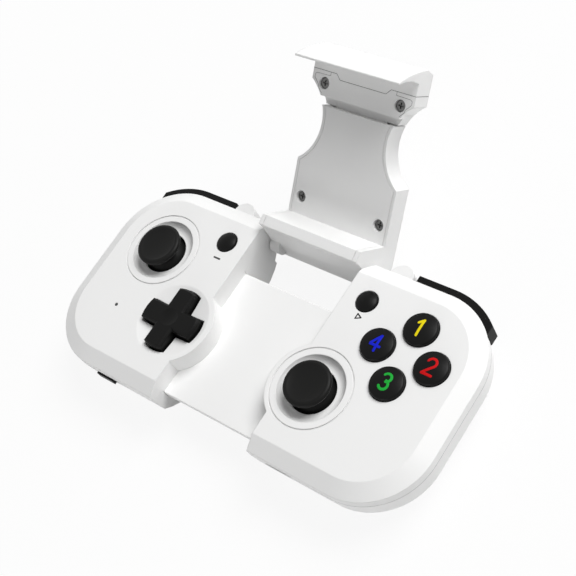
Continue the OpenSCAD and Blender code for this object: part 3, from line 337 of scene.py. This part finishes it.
@dataclass(frozen=True)
class Finish:
    """A moulded or machined finish: a tone with clouding, a roughness band and a fine grain.

    Scales are per metre; the rounding of edges and the grain's height are in millimetres.
    """

    name: str
    tone: tuple[float, float, float]
    low_rough: float
    high_rough: float
    grain_scale: float = 2600.0
    grain_depth: float = 0.05
    cloud_scale: float = 400.0
    cloud: float = 0.08
    metallic: float = 0.0
    edge: float = 0.0
    specular: float = 0.5
    stretch: tuple[float, float, float] = (1.0, 1.0, 1.0)
    bump_height: float = 0.1
    edge_samples: int = 6

    def shade(self, factor: float) -> tuple[float, float, float, float]:
        """The tone times a factor, kept to one at most."""
        return (*[min(1.0, c * factor) for c in self.tone], 1.0)

    def material(self) -> bpy.types.Material:
        """Build the node material.

        Returns:
            The material, made once.
        """
        if self.name in bpy.data.materials:
            return bpy.data.materials[self.name]
        mat = bpy.data.materials.new(self.name)
        mat.use_nodes = True
        nodes, links = mat.node_tree.nodes, mat.node_tree.links
        bsdf = nodes["Principled BSDF"]
        bsdf.inputs["Metallic"].default_value = self.metallic
        bsdf.inputs["Specular IOR Level"].default_value = self.specular
        where = nodes.new("ShaderNodeTexCoord")
        turn = nodes.new("ShaderNodeMapping")
        turn.inputs["Scale"].default_value = self.stretch
        links.new(where.outputs["Object"], turn.inputs["Vector"])
        grain = nodes.new("ShaderNodeGroup")
        grain.node_tree = ShaderGroups.grain()
        grain.inputs["Grain scale"].default_value = self.grain_scale
        grain.inputs["Cloud scale"].default_value = self.cloud_scale
        links.new(turn.outputs["Vector"], grain.inputs["Vector"])
        links.new(self.colour(mat.node_tree, grain, turn), bsdf.inputs["Base Color"])
        rough = nodes.new("ShaderNodeMapRange")
        rough.inputs["To Min"].default_value = self.low_rough
        rough.inputs["To Max"].default_value = self.high_rough
        links.new(grain.outputs["Cloud"], rough.inputs["Value"])
        links.new(rough.outputs["Result"], bsdf.inputs["Roughness"])
        bump = nodes.new("ShaderNodeBump")
        bump.inputs["Strength"].default_value = self.grain_depth
        bump.inputs["Distance"].default_value = self.bump_height * MM
        links.new(grain.outputs["Height"], bump.inputs["Height"])
        if self.edge > 0.0:
            soft = nodes.new("ShaderNodeBevel")
            soft.samples = self.edge_samples
            soft.inputs["Radius"].default_value = self.edge * MM
            links.new(soft.outputs["Normal"], bump.inputs["Normal"])
        links.new(bump.outputs["Normal"], bsdf.inputs["Normal"])
        return mat

    def colour(
        self, tree: bpy.types.NodeTree, grain: bpy.types.ShaderNode, turn: bpy.types.ShaderNode
    ) -> bpy.types.NodeSocket:
        """Cloud the tone: it runs from a little darker to a little lighter than its own value.

        Args:
            tree: the material's node tree.
            grain: the node that gives the cloud.
            turn: the node that gives the place.

        Returns:
            The socket with the colour.
        """
        mix = tree.nodes.new("ShaderNodeMix")
        mix.data_type = "RGBA"
        mix.inputs["A"].default_value = self.shade(1.0 - self.cloud)
        mix.inputs["B"].default_value = self.shade(1.0 + self.cloud)
        tree.links.new(grain.outputs["Cloud"], mix.inputs["Factor"])
        return mix.outputs["Result"]


@dataclass(frozen=True)
class BoardFinish(Finish):
    """Lacquered circuit board: paler tracks under green lacquer."""

    dark_share: float = 0.8
    track_share: float = 2.2
    track_scale: float = 260.0
    track_width: float = 0.03

    def colour(
        self, tree: bpy.types.NodeTree, grain: bpy.types.ShaderNode, turn: bpy.types.ShaderNode
    ) -> bpy.types.NodeSocket:
        """Lay tracks, which are the joints of a brick pattern, over the lacquer's tone.

        Args:
            tree: the material's node tree.
            grain: the node that gives the cloud.
            turn: the node that gives the place.

        Returns:
            The socket with the colour.
        """
        tracks = tree.nodes.new("ShaderNodeTexBrick")
        tracks.inputs["Color1"].default_value = self.shade(1.0)
        tracks.inputs["Color2"].default_value = self.shade(self.dark_share)
        tracks.inputs["Mortar"].default_value = self.shade(self.track_share)
        tracks.inputs["Scale"].default_value = self.track_scale
        tracks.inputs["Mortar Size"].default_value = self.track_width
        tree.links.new(turn.outputs["Vector"], tracks.inputs["Vector"])
        return tracks.outputs["Color"]


class Finishes:
    """The finish of each material slot, of the prints and of the lines, with painted shade for the seams,
    the parting lines and the charging port.
    """

    BY_SLOT: dict[Slot, Finish] = {
        Slot.SHELL: Finish(
            "white_shell", (0.9, 0.9, 0.895), 0.4, 0.52,
            grain_scale=2400.0, grain_depth=0.05, cloud_scale=30.0, cloud=0.012, edge=0.35,
        ),
        Slot.KEY: Finish(
            "black_key", (0.005, 0.005, 0.0048), 0.3, 0.4,
            grain_scale=2600.0, grain_depth=0.09, cloud_scale=60.0, cloud=0.12, edge=0.4,
            specular=0.1,
        ),
        Slot.STICK: Finish(
            "soft_rubber", (0.007, 0.007, 0.0067), 0.36, 0.48,
            grain_scale=2200.0, grain_depth=0.14, cloud_scale=80.0, cloud=0.15, edge=0.2,
            specular=0.11,
        ),
        Slot.GEAR: Finish(
            "acetal_plastic", (0.05, 0.05, 0.055), 0.4, 0.55,
            grain_scale=1800.0, grain_depth=0.06, cloud_scale=90.0, cloud=0.1,
        ),
        Slot.STEEL: Finish(
            "plated_steel", (0.55, 0.55, 0.54), 0.24, 0.4,
            grain_scale=1500.0, grain_depth=0.05, cloud_scale=400.0, cloud=0.1, metallic=1.0,
            edge=0.08, stretch=(1.0, 6.0, 1.0),
        ),
        Slot.SCREW: Finish(
            "blackened_steel", (0.13, 0.13, 0.128), 0.36, 0.5,
            grain_scale=1500.0, grain_depth=0.06, cloud_scale=400.0, cloud=0.12, metallic=1.0,
        ),
        Slot.BOARD: BoardFinish(
            "board_lacquer", (0.03, 0.16, 0.07), 0.25, 0.4,
            grain_scale=1500.0, grain_depth=0.05, cloud_scale=90.0, cloud=0.1,
        ),
        Slot.MEMBRANE: Finish(
            "grey_rubber", (0.45, 0.45, 0.45), 0.55, 0.7,
            grain_scale=1800.0, grain_depth=0.08, cloud_scale=90.0, cloud=0.06,
        ),
        Slot.BATTERY: Finish(
            "battery_film", (0.08, 0.16, 0.45), 0.25, 0.4,
            grain_scale=900.0, grain_depth=0.05, cloud_scale=60.0, cloud=0.1,
        ),
        Slot.FLEX: Finish(
            "flex_laminate", (0.55, 0.26, 0.06), 0.25, 0.35,
            grain_scale=900.0, grain_depth=0.04, cloud_scale=120.0, cloud=0.12,
            stretch=(1.0, 8.0, 1.0),
        ),
        # Painted shade: the clear light pipe is toned dark grey for the dark of the lamp's hole
        Slot.LAMP: Finish(
            "lamp_painted_shade", (0.05, 0.055, 0.055), 0.12, 0.2,
            grain_scale=900.0, grain_depth=0.02, cloud_scale=300.0, cloud=0.04,
        ),
    }
    BLUE = Finish("print_blue", (0.012, 0.022, 0.62), 0.4, 0.5, specular=0.05)
    YELLOW = Finish("print_yellow", (0.86, 0.70, 0.01), 0.4, 0.5, cloud=0.06, specular=0.05)
    RED = Finish("print_red", (0.60, 0.010, 0.012), 0.4, 0.5, specular=0.05)
    GREEN = Finish("print_green", (0.02, 0.42, 0.05), 0.4, 0.5, specular=0.05)
    INK = Finish("print_ink", (0.02, 0.02, 0.02), 0.45, 0.55, cloud=0.1)
    # Painted shade: a dark grey band that stands for the shadow in the jaw's seams
    SEAM_SHADE = Finish("painted_seam_shade", (0.13, 0.13, 0.13), 0.6, 0.7, cloud=0.1)
    # Painted shade: a mid grey band that stands for the shadow in the grips' parting line
    PARTING_SHADE = Finish("painted_parting_shade", (0.45, 0.45, 0.45), 0.6, 0.7, cloud=0.1)
    # Painted shade: the charging port's steel is coloured near black for the dark of its opening
    PORT_SHADE = Finish(
        "port_painted_shade", (0.004, 0.004, 0.004), 0.5, 0.6, grain_scale=1500.0, cloud=0.1, specular=0.1
    )


def dress(piece: bpy.types.Object, finish: Finish) -> None:
    """Give a piece one finish in place of what it has."""
    piece.data.materials.clear()
    piece.data.materials.append(finish.material())


def fit(piece: bpy.types.Object, finish: Finish, body: str, node: str = "") -> None:
    """Dress a piece and give it to its body.

    Args:
        piece: the piece.
        finish: its finish.
        body: the body that it moves with.
        node: the node that it stands for, if any.
    """
    dress(piece, finish)
    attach(piece, body)
    if node:
        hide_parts(node)
    LOG.info("piece %s on %s", piece.name, body)


# The part


@dataclass
class Solids:
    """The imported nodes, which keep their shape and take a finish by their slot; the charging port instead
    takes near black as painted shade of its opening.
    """

    frame: dict

    def build(self) -> None:
        """Dress every node."""
        slots = {s["node"]: Slot(s["material_slot"]) for s in self.frame["record"]["subparts"]}
        for name, node in self.frame["nodes"].items():
            # The charging port is painted near black, as painted shade of its opening
            dress(node, Finishes.PORT_SHADE if name == "charging_port" else Finishes.BY_SLOT[slots[name]])
            LOG.info("node %s: %s", name, slots[name].value)


@dataclass
class Keys:
    """Domed round buttons in place of the plain ones, in millimetres from the level of the grips' tops."""

    grips: Place
    face_r: float = 5.3
    menu_r: float = 3.5
    collar: float = 0.9
    collar_t: float = 0.9
    collar_top: float = -2.5
    collar_round: float = 0.1
    stem_r: float = 2.1
    stem_round: float = 0.2
    crown: float = 0.85
    crown_steps: int = 9
    edge: float = 0.75
    edge_reach: float = 1.4
    edge_steps: int = 10

    def height(self, rho: np.ndarray, r: float, high: float) -> np.ndarray:
        """Height of the crown at a distance from the key's axis: it falls as the square of the distance."""
        return high - self.crown * (rho / r) ** 2

    def profile(self, r: float, low: float, high: float) -> np.ndarray:
        """Outline of a key: stem, collar, wall, rounded edge and crown.

        Args:
            r: radius of the key.
            low: bottom of the stem.
            high: top of the crown.

        Returns:
            Rows of (r, z).
        """
        rho = np.linspace(r - self.edge * self.edge_reach, 0.0, self.crown_steps)
        crown = np.stack([rho, self.height(rho, r, high)], axis=1)
        collar_low = self.collar_top - self.collar_t
        foot = rounded(
            [
                (0.0, low, 0.0),
                (self.stem_r, low, self.stem_round),
                (self.stem_r, collar_low, 0.0),
                (r + self.collar, collar_low, self.collar_round),
                (r + self.collar, self.collar_top, self.collar_round),
                (r, self.collar_top, 0.0),
                (r, high - self.crown, self.edge),
                (crown[0, 0], crown[0, 1], 0.0),
            ],
            self.edge_steps,
        )
        return np.vstack([foot, crown[1:]])

    def cap(self, key: str, r: float) -> None:
        """Make one key over its node.

        Args:
            key: name of the key.
            r: radius of the key.
        """
        node = f"{key}_button"
        low, high = (self.grips.local(corner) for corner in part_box(node))
        cap = turned(self.profile(r, low[2], high[2]))
        axis = (low + high) / 2 * FLAT
        piece = self.grips.carried(cap.moved(cap.points + axis)).piece(f"{node}_key")
        fit(piece, Finishes.BY_SLOT[Slot.KEY], f"{key}_key", node)

    def build(self) -> None:
        """Make the four face keys and the two menu keys."""
        for key in ("front", "right", "back", "left"):
            self.cap(key, self.face_r)
        for key in ("select", "start"):
            self.cap(key, self.menu_r)


@dataclass
class Numbers:
    """Plain coloured numbers on the face keys, as low bands that follow the crown."""

    grips: Place
    keys: Keys
    tall: float = 5.0
    half_w: float = 0.42
    proud: float = 0.025

    @staticmethod
    def arc(cx: float, cy: float, r: float, start: float, end: float, count: int = 18) -> np.ndarray:
        """Points on a circle between two angles in degrees."""
        a = np.radians(np.linspace(start, end, count))
        return np.stack([cx + r * np.cos(a), cy + r * np.sin(a)], axis=1)

    def strokes(self, mark: Mark) -> list[np.ndarray]:
        """Paths of a number in a box of height 1 about its middle.

        Args:
            mark: the number.

        Returns:
            One array of (x, y) for each stroke.
        """
        if mark is Mark.ONE:
            return [np.array([(-0.2, 0.26), (0.04, 0.5)]), np.array([(0.04, 0.5), (0.04, -0.5)])]
        if mark is Mark.TWO:
            bow = self.arc(0.0, 0.22, 0.28, 165, -35)
            return [np.vstack([bow, [(-0.3, -0.5)]]), np.array([(-0.3, -0.5), (0.32, -0.5)])]
        if mark is Mark.THREE:
            return [self.arc(-0.02, 0.24, 0.26, 150, -80), self.arc(-0.02, -0.22, 0.28, 80, -150)]
        hook = np.array([(0.12, 0.5), (-0.32, -0.18), (0.34, -0.18)])
        return [hook, np.array([(0.12, 0.5), (0.12, -0.5)])]

    def number(self, mark: Mark, node: str) -> Surface:
        """Lay a number on the crown of a key: each point's height is added to the crown's below it.

        Args:
            mark: the number.
            node: the key's node.

        Returns:
            The number in the shared frame.
        """
        low, high = (self.grips.local(corner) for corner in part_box(node))
        bands = Surface.joined([strip(p * self.tall, self.half_w, self.proud) for p in self.strokes(mark)])
        rho = np.linalg.norm(bands.points[:, :2], axis=1)
        points = bands.points + (low + high) / 2 * FLAT
        points[:, 2] += self.keys.height(rho, self.keys.face_r, high[2])
        return self.grips.carried(bands.moved(points))

    def build(self) -> None:
        """Print the numbers, read from the player's side."""
        for key, mark, finish in (
            ("back", Mark.ONE, Finishes.YELLOW),
            ("right", Mark.TWO, Finishes.RED),
            ("front", Mark.THREE, Finishes.GREEN),
            ("left", Mark.FOUR, Finishes.BLUE),
        ):
            piece = self.number(mark, f"{key}_button").piece(f"{key}_number")
            fit(piece, finish, f"{key}_key")


@dataclass
class Sticks:
    """Smooth thumb sticks: a dished cap with a soft rim on a dome, in place of the plain caps."""

    grips: Place
    cap_r: float = 7.5
    proud: float = 3.7
    dome_r: float = 7.7
    dome_t: float = 1.0
    pivot: float = -6.9
    rim_up: float = 1.4
    neck_r: float = 3.3
    neck_low: float = 3.2
    neck_round: float = 0.25
    dish_edge: float = 3.0
    dish_depth: float = 0.75
    dish_rise: float = 0.3
    # Corners of the cap from its skirt up over the rim: how far in, how far down, and how round
    corners: tuple[tuple[float, float, float], ...] = (
        (1.5, 2.4, 0.6),
        (0.0, 1.6, 0.55),
        (0.0, 0.45, 0.8),
        (1.0, -0.05, 0.6),
        (2.0, 0.25, 0.5),
    )
    ball_steps: int = 24
    dish_steps: int = 16
    round_steps: int = 9
    segments: int = 128

    def ball(self, r: float, start: float, end: float) -> np.ndarray:
        """Meridian of a ball round the tilt centre, between two angles of latitude.

        Args:
            r: radius of the ball.
            start: first angle in radians.
            end: last angle in radians.

        Returns:
            Rows of (r, z).
        """
        a = np.linspace(start, end, self.ball_steps)
        return np.stack([np.maximum(r * np.cos(a), 0.0), self.pivot + r * np.sin(a)], axis=1)

    def profile(self) -> np.ndarray:
        """Outline from the inside of the dome, round its rim and up over the cap.

        Returns:
            Rows of (r, z), ending in a dish that rises as the square of the radius.
        """
        outer, inner = self.dome_r, self.dome_r - self.dome_t
        r, top = self.cap_r, self.proud
        inside = self.ball(inner, np.pi / 2, np.arcsin(self.rim_up / inner))
        outside = self.ball(outer, np.arcsin(self.rim_up / outer), np.arccos(self.neck_r / outer))
        dish_r = np.linspace(r - self.dish_edge, 0.0, self.dish_steps)
        dish = top - self.dish_depth + self.dish_rise * (dish_r / dish_r[0]) ** 2
        cap = rounded(
            [
                (self.neck_r, outside[-1, 1], 0.0),
                (self.neck_r, top - self.neck_low, self.neck_round),
                *[(r - inward, top - down, reach) for inward, down, reach in self.corners],
                (dish_r[0], dish[0], 0.0),
            ],
            self.round_steps,
        )
        return np.vstack([inside, outside[:-1], cap[:-1], np.stack([dish_r, dish], axis=1)])

    def build(self) -> None:
        """Make both sticks."""
        for side in ("left", "right"):
            node = f"{side}_stick_cap"
            low, high = (self.grips.local(corner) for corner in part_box(node))
            stick = turned(self.profile(), self.segments)
            axis = (low + high) / 2 * FLAT
            piece = self.grips.carried(stick.moved(stick.points + axis)).piece(f"{side}_stick_grip")
            fit(piece, Finishes.BY_SLOT[Slot.STICK], f"{side}_stick", node)


@dataclass(frozen=True)
class ScrewPair:
    """Two like screws: their node and body, how far out and up they sit, their seat and their shank."""

    node: str
    body: str
    out: float
    up: float
    seat: float
    shank: float


@dataclass
class Screws:
    """Blackened cross-recess screws of the clamp, in place of the plain ones."""

    clamp: Place
    head_r: float = 1.7
    head_h: float = 1.1
    head_round: float = 0.25
    shank_r: float = 0.9
    arm: float = 1.0
    arm_slope: float = 0.35
    slot_half: float = 0.24
    slot_slope: float = 0.1
    deep: float = 0.6
    head_rings: int = 44
    round_steps: int = 6
    segments: int = 144
    pairs: tuple[ScrewPair, ...] = (
        ScrewPair("clamp_screws", "clamp", 15.4, 16.5, -5.77, 2.8),
        ScrewPair("jaw_screws", "jaw", 14.4, 53.5, -5.27, 2.4),
    )

    def one(self, shank: float) -> Surface:
        """A screw on its own axis; the top of its head sinks where a point lies within the arms of a cross.

        Args:
            shank: length of the shank.

        Returns:
            A closed surface with its seat at height 0.
        """
        flat = np.linspace(self.head_r - self.head_round, 0.0, self.head_rings)
        wall = rounded(
            [
                (0.0, -shank, 0.0),
                (self.shank_r, -shank, 0.0),
                (self.shank_r, 0.0, 0.0),
                (self.head_r, 0.0, 0.0),
                (self.head_r, self.head_h, self.head_round),
                (flat[1], self.head_h, 0.0),
            ],
            self.round_steps,
        )
        head = np.stack([flat[2:], np.full(len(flat) - 2, self.head_h)], axis=1)
        screw = turned(np.vstack([wall, head]), self.segments)
        reach = np.abs(screw.points[:, :2])
        near, far = reach.min(axis=1), reach.max(axis=1)
        sunk = np.clip((self.slot_half - near) / self.slot_slope, 0.0, 1.0)
        sunk *= np.clip((self.arm - far) / self.arm_slope, 0.0, 1.0)
        sunk *= screw.points[:, 2] > 0.0
        return screw.moved(screw.points - np.outer(self.deep * sunk, (0.0, 0.0, 1.0)))

    def build(self) -> None:
        """Make the two screws of the plate and the two of the jaw."""
        for pair in self.pairs:
            screw = self.one(pair.shank)
            spots = [(side * pair.out, pair.up, pair.seat) for side in (-1, 1)]
            both = Surface.joined([screw.moved(screw.points + spot) for spot in spots])
            piece = self.clamp.carried(both).piece(f"{pair.node}_cross")
            fit(piece, Finishes.BY_SLOT[Slot.SCREW], pair.body, pair.node)


@dataclass
class Lines:
    """Thin bands of painted shade along the seams where mouldings meet, and the two plain signs by the menu
    buttons.
    """

    grips: Place
    clamp: Place
    proud: float = 0.02
    seam_half: float = 0.07
    plate_w: float = -3.57
    jaw_half: float = 19.3
    jaw_depth: float = 6.73
    seam_u: float = 57.35
    step_u: float = 55.7
    step_x: tuple[float, float] = (8.7, 10.3)
    # Run of a small seam round a screw of the jaw, below the stepped one: across and up
    tab: tuple[tuple[float, float], ...] = (
        (12.5, 56.2),
        (17.6, 56.1),
        (18.3, 55.7),
        (18.35, 54.6),
        (16.5, 52.7),
        (16.4, 51.9),
        (14.8, 50.2),
    )
    tab_share: float = 0.8
    seam_steps: int = 240
    tab_steps: int = 160
    side_steps: int = 40
    parting: float = -5.7
    parting_half: float = 0.08
    corner_r: float = 22.0
    half_w: float = 71.1
    front: float = -24.3
    back: float = 43.5
    left_start: float = 19.9
    right_start: float = 34.6
    bumper_turn: float = 32.0
    turn_steps: int = 60
    rise_steps: int = 24
    sign_x: float = 27.7
    sign_y: float = 24.6
    bar_half: float = 1.1
    bar_line: float = 0.32
    wedge_long: float = 1.6
    wedge_tall: float = 1.7
    wedge_line: float = 0.22

    def on_plate(self, path: Sequence[tuple[float, float]], half_w: float, steps: int) -> Surface:
        """A band on the front of the jaw, from (across, up) points.

        Args:
            path: points of the path.
            half_w: half of its width.
            steps: points along it.

        Returns:
            The band in the clamp's place.
        """
        band = strip(np.array(path, float), half_w, self.proud, steps)
        return band.moved(band.points + (0.0, 0.0, self.plate_w))

    def on_side(self, side: int) -> Surface:
        """A band down a side of the jaw: (up, out, height) goes to (side times half plus height, up, out).

        Args:
            side: 1 on the right, -1 on the left.

        Returns:
            The band in the clamp's place.
        """
        path = np.array([(self.seam_u, self.plate_w - self.jaw_depth), (self.seam_u, self.plate_w)])
        band = strip(path, self.seam_half, self.proud, self.side_steps)
        up, out, height = band.points.T
        band = band.moved(np.stack([side * (self.jaw_half + height), up, out], axis=1))
        return band if side > 0 else band.flipped()

    def jaw(self) -> Surface:
        """Painted shade in the seams of the jaw: the stepped one, its run down both sides, and the small
        ones by the screws.

        Returns:
            The bands of painted seam shade in the shared frame.
        """
        inner, outer = self.step_x
        half = [(inner, self.step_u), (outer, self.seam_u), (self.jaw_half, self.seam_u)]
        whole = [(-x, u) for x, u in half[::-1]] + half
        tab = [(self.tab[0][0], self.seam_u), *self.tab]
        parts = [self.on_plate(whole, self.seam_half, self.seam_steps)]
        for side in (-1, 1):
            path = [(side * x, u) for x, u in tab]
            parts.append(self.on_plate(path, self.tab_share * self.seam_half, self.tab_steps))
            parts.append(self.on_side(side))
        return self.clamp.carried(Surface.joined(parts))

    def casing(self, side: int, start: float) -> Surface:
        """Painted shade of the parting line of a grip's outer wall, from a place on the front round to the
        bumper.

        Its points lie on the wall's straights and corner arcs, moved out by the band's height.

        Args:
            side: 1 on the right, -1 on the left.
            start: where it starts across the front.

        Returns:
            The band in the grips' place.
        """
        turn = np.radians(np.linspace(-90.0, 0.0, self.turn_steps))
        rise = np.radians(np.linspace(0.0, self.bumper_turn, self.rise_steps))
        angle = np.concatenate([turn[:1], turn, rise])
        out = np.stack([np.cos(angle), np.sin(angle)], axis=1)
        middle = np.full_like(out, self.half_w - self.corner_r)
        middle[0, 0] = start
        middle[:, 1] = self.front + self.corner_r
        middle[-len(rise) :, 1] = self.back - self.corner_r
        reach = self.corner_r + self.proud * LIFT
        flat = middle[:, None, :] + out[:, None, :] * reach[:, None]
        narrow = np.ones(len(angle))
        narrow[[0, -1]] = 0.0
        level = self.parting + self.parting_half * narrow[:, None] * ACROSS
        points = np.concatenate([flat * (side, 1.0), level[..., None]], axis=-1).reshape(-1, 3)
        band = Surface(points, band_faces(len(angle), len(ACROSS)))
        return band if side > 0 else band.flipped()

    def signs(self) -> Surface:
        """A short bar by the left menu button and the outline of a small wedge by the right one.

        Returns:
            The signs in the shared frame.
        """
        x, y, tall = self.sign_x, self.sign_y, self.wedge_tall
        bar = np.array([(-x - self.bar_half, y), (-x + self.bar_half, y)])
        wedge = np.array([(x, y), (x, y + tall), (x + self.wedge_long, y + tall / 2), (x, y)])
        bands = [strip(wedge[n : n + 2], self.wedge_line, self.proud) for n in range(len(wedge) - 1)]
        return self.grips.carried(Surface.joined([strip(bar, self.bar_line, self.proud), *bands]))

    def build(self) -> None:
        """Lay the lines."""
        casing_shade_bands = Surface.joined([self.casing(-1, self.left_start), self.casing(1, self.right_start)])
        # The seam and parting bands are painted shade of gaps; the signs are print
        for name, body, surface, finish in (
            ("jaw_seam_shade", "jaw", self.jaw(), Finishes.SEAM_SHADE),
            ("parting_line_shade", "grips", self.grips.carried(casing_shade_bands), Finishes.PARTING_SHADE),
            ("menu_signs", "grips", self.signs(), Finishes.INK),
        ):
            fit(surface.piece(name), finish, body)


# The studio


@dataclass(frozen=True)
class Lamp:
    """A square soft light that faces the part: its place and side in metres, and its power in watts."""

    name: str
    where: tuple[float, float, float]
    size: float
    watts: float
    aim: tuple[float, float, float] = (0.0, 0.0, 0.02)

    def build(self) -> None:
        """Hang the lamp."""
        data = bpy.data.lights.new(self.name, "AREA")
        data.size, data.energy = self.size, self.watts
        lamp = bpy.data.objects.new(self.name, data)
        lamp.visible_camera = False
        away = Vector(self.aim) - Vector(self.where)
        turn = away.to_track_quat("-Z", "Y").to_matrix().to_4x4()
        lamp.matrix_world = Matrix.Translation(self.where) @ turn
        bpy.context.scene.collection.objects.link(lamp)


@dataclass
class Studio:
    """Pale floor, soft light and the camera at the photograph's angle."""

    eye: tuple[float, float, float] = (0.204418, -0.105694, 0.306549)
    right: tuple[float, float, float] = (0.7604204, 0.5410835, -0.3591511)
    up: tuple[float, float, float] = (-0.3315503, 0.7989708, 0.5017172)
    back: tuple[float, float, float] = (0.5584221, -0.2624394, 0.78695)
    lens: float = 74.6066
    film: float = 36.0
    clip: tuple[float, float] = (0.01, 20.0)
    floor_half: float = 6.0
    floor_drop: float = 0.05 * MM
    paper: float = 0.9
    paper_glow: float = 0.9
    paper_fade: tuple[float, float] = (0.12, 0.6)
    sky_strength: float = 0.21
    lamps: tuple[Lamp, ...] = (
        Lamp("key_light", (0.60, 1.07, 1.57), 1.2, 39.0),
        Lamp("low_light", (0.10, -0.85, 0.05), 0.4, 1.9),
    )

    @staticmethod
    def seen_rays(tree: bpy.types.NodeTree) -> bpy.types.NodeSocket:
        """Mask of the rays that show the background: from the camera, in gloss and through glass.

        Args:
            tree: the node tree that needs the mask.

        Returns:
            A socket that is 1 on those rays and 0 on the rest.
        """
        ray = tree.nodes.new("ShaderNodeLightPath")
        mask = ray.outputs["Is Camera Ray"]
        for kind in ("Is Glossy Ray", "Is Transmission Ray"):
            either = tree.nodes.new("ShaderNodeMath")
            either.operation = "MAXIMUM"
            tree.links.new(mask, either.inputs[0])
            tree.links.new(ray.outputs[kind], either.inputs[1])
            mask = either.outputs["Value"]
        return mask

    def camera(self) -> None:
        """Stand the camera where the photograph's was."""
        data = bpy.data.cameras.new("camera")
        data.lens = self.lens
        data.sensor_width = self.film
        data.clip_start, data.clip_end = self.clip
        cam = bpy.data.objects.new("camera", data)
        turn = Matrix((self.right, self.up, self.back)).transposed().to_4x4()
        cam.matrix_world = Matrix.Translation(self.eye) @ turn
        bpy.context.scene.collection.objects.link(cam)
        bpy.context.scene.camera = cam

    def floor(self) -> None:
        """Lay a pale floor that shows nearly white and keeps a soft shadow.

        How much of it is plain white rises evenly with the distance from the part, up to all of it.
        """
        square = np.array([(-1.0, -1.0, 0.0), (1.0, -1.0, 0.0), (1.0, 1.0, 0.0), (-1.0, 1.0, 0.0)])
        corners = self.floor_half * square - (0.0, 0.0, self.floor_drop)
        floor = Surface(corners, np.array([(0, 1, 2, 3)])).piece("floor", False)
        mat = bpy.data.materials.new("floor_paper")
        mat.use_nodes = True
        nodes, links = mat.node_tree.nodes, mat.node_tree.links
        nodes.clear()
        out = nodes.new("ShaderNodeOutputMaterial")
        paper = nodes.new("ShaderNodeBsdfDiffuse")
        paper.inputs["Color"].default_value = (self.paper, self.paper, self.paper, 1.0)
        glow = nodes.new("ShaderNodeEmission")
        glow.inputs["Strength"].default_value = 1.0
        seen = nodes.new("ShaderNodeMath")
        seen.operation = "MULTIPLY"
        where = nodes.new("ShaderNodeTexCoord")
        away = nodes.new("ShaderNodeVectorMath")
        away.operation = "LENGTH"
        fade = nodes.new("ShaderNodeMapRange")
        fade.inputs["From Min"].default_value, fade.inputs["From Max"].default_value = self.paper_fade
        fade.inputs["To Min"].default_value = self.paper_glow
        links.new(where.outputs["Object"], away.inputs[0])
        links.new(away.outputs["Value"], fade.inputs["Value"])
        links.new(fade.outputs["Result"], seen.inputs[1])
        mix = nodes.new("ShaderNodeMixShader")
        links.new(self.seen_rays(mat.node_tree), seen.inputs[0])
        links.new(seen.outputs["Value"], mix.inputs["Fac"])
        links.new(paper.outputs["BSDF"], mix.inputs[1])
        links.new(glow.outputs["Emission"], mix.inputs[2])
        links.new(mix.outputs["Shader"], out.inputs["Surface"])
        floor.data.materials.append(mat)

    def sky(self) -> None:
        """Light evenly from all round, and show white to the camera, in gloss and through glass."""
        world = bpy.data.worlds.new("studio")
        bpy.context.scene.world = world
        world.use_nodes = True
        nodes, links = world.node_tree.nodes, world.node_tree.links
        light = nodes["Background"]
        white = nodes.new("ShaderNodeBackground")
        mix = nodes.new("ShaderNodeMixShader")
        for node, strength in ((light, self.sky_strength), (white, 1.0)):
            node.inputs["Color"].default_value = (1.0, 1.0, 1.0, 1.0)
            node.inputs["Strength"].default_value = strength
        links.new(self.seen_rays(world.node_tree), mix.inputs["Fac"])
        links.new(light.outputs["Background"], mix.inputs[1])
        links.new(white.outputs["Background"], mix.inputs[2])
        links.new(mix.outputs["Shader"], nodes["World Output"].inputs["Surface"])

    def build(self) -> None:
        """Set up the studio."""
        bpy.context.scene.view_settings.view_transform = "Standard"
        self.camera()
        self.floor()
        self.sky()
        for lamp in self.lamps:
            lamp.build()
        LOG.info("studio with %d lamps", len(self.lamps))


def main() -> None:
    """Build the part's looks and its studio."""
    logging.basicConfig(level=logging.INFO, format="%(message)s")
    for old in list(bpy.data.objects):
        bpy.data.objects.remove(old)
    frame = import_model()
    Studio().build()
    Solids(frame).build()
    grips, clamp = Place.grips(), Place.clamp(frame)
    keys = Keys(grips)
    keys.build()
    Numbers(grips, keys).build()
    Sticks(grips).build()
    Screws(clamp).build()
    Lines(grips, clamp).build()


if __name__ == "__main__":
    main()
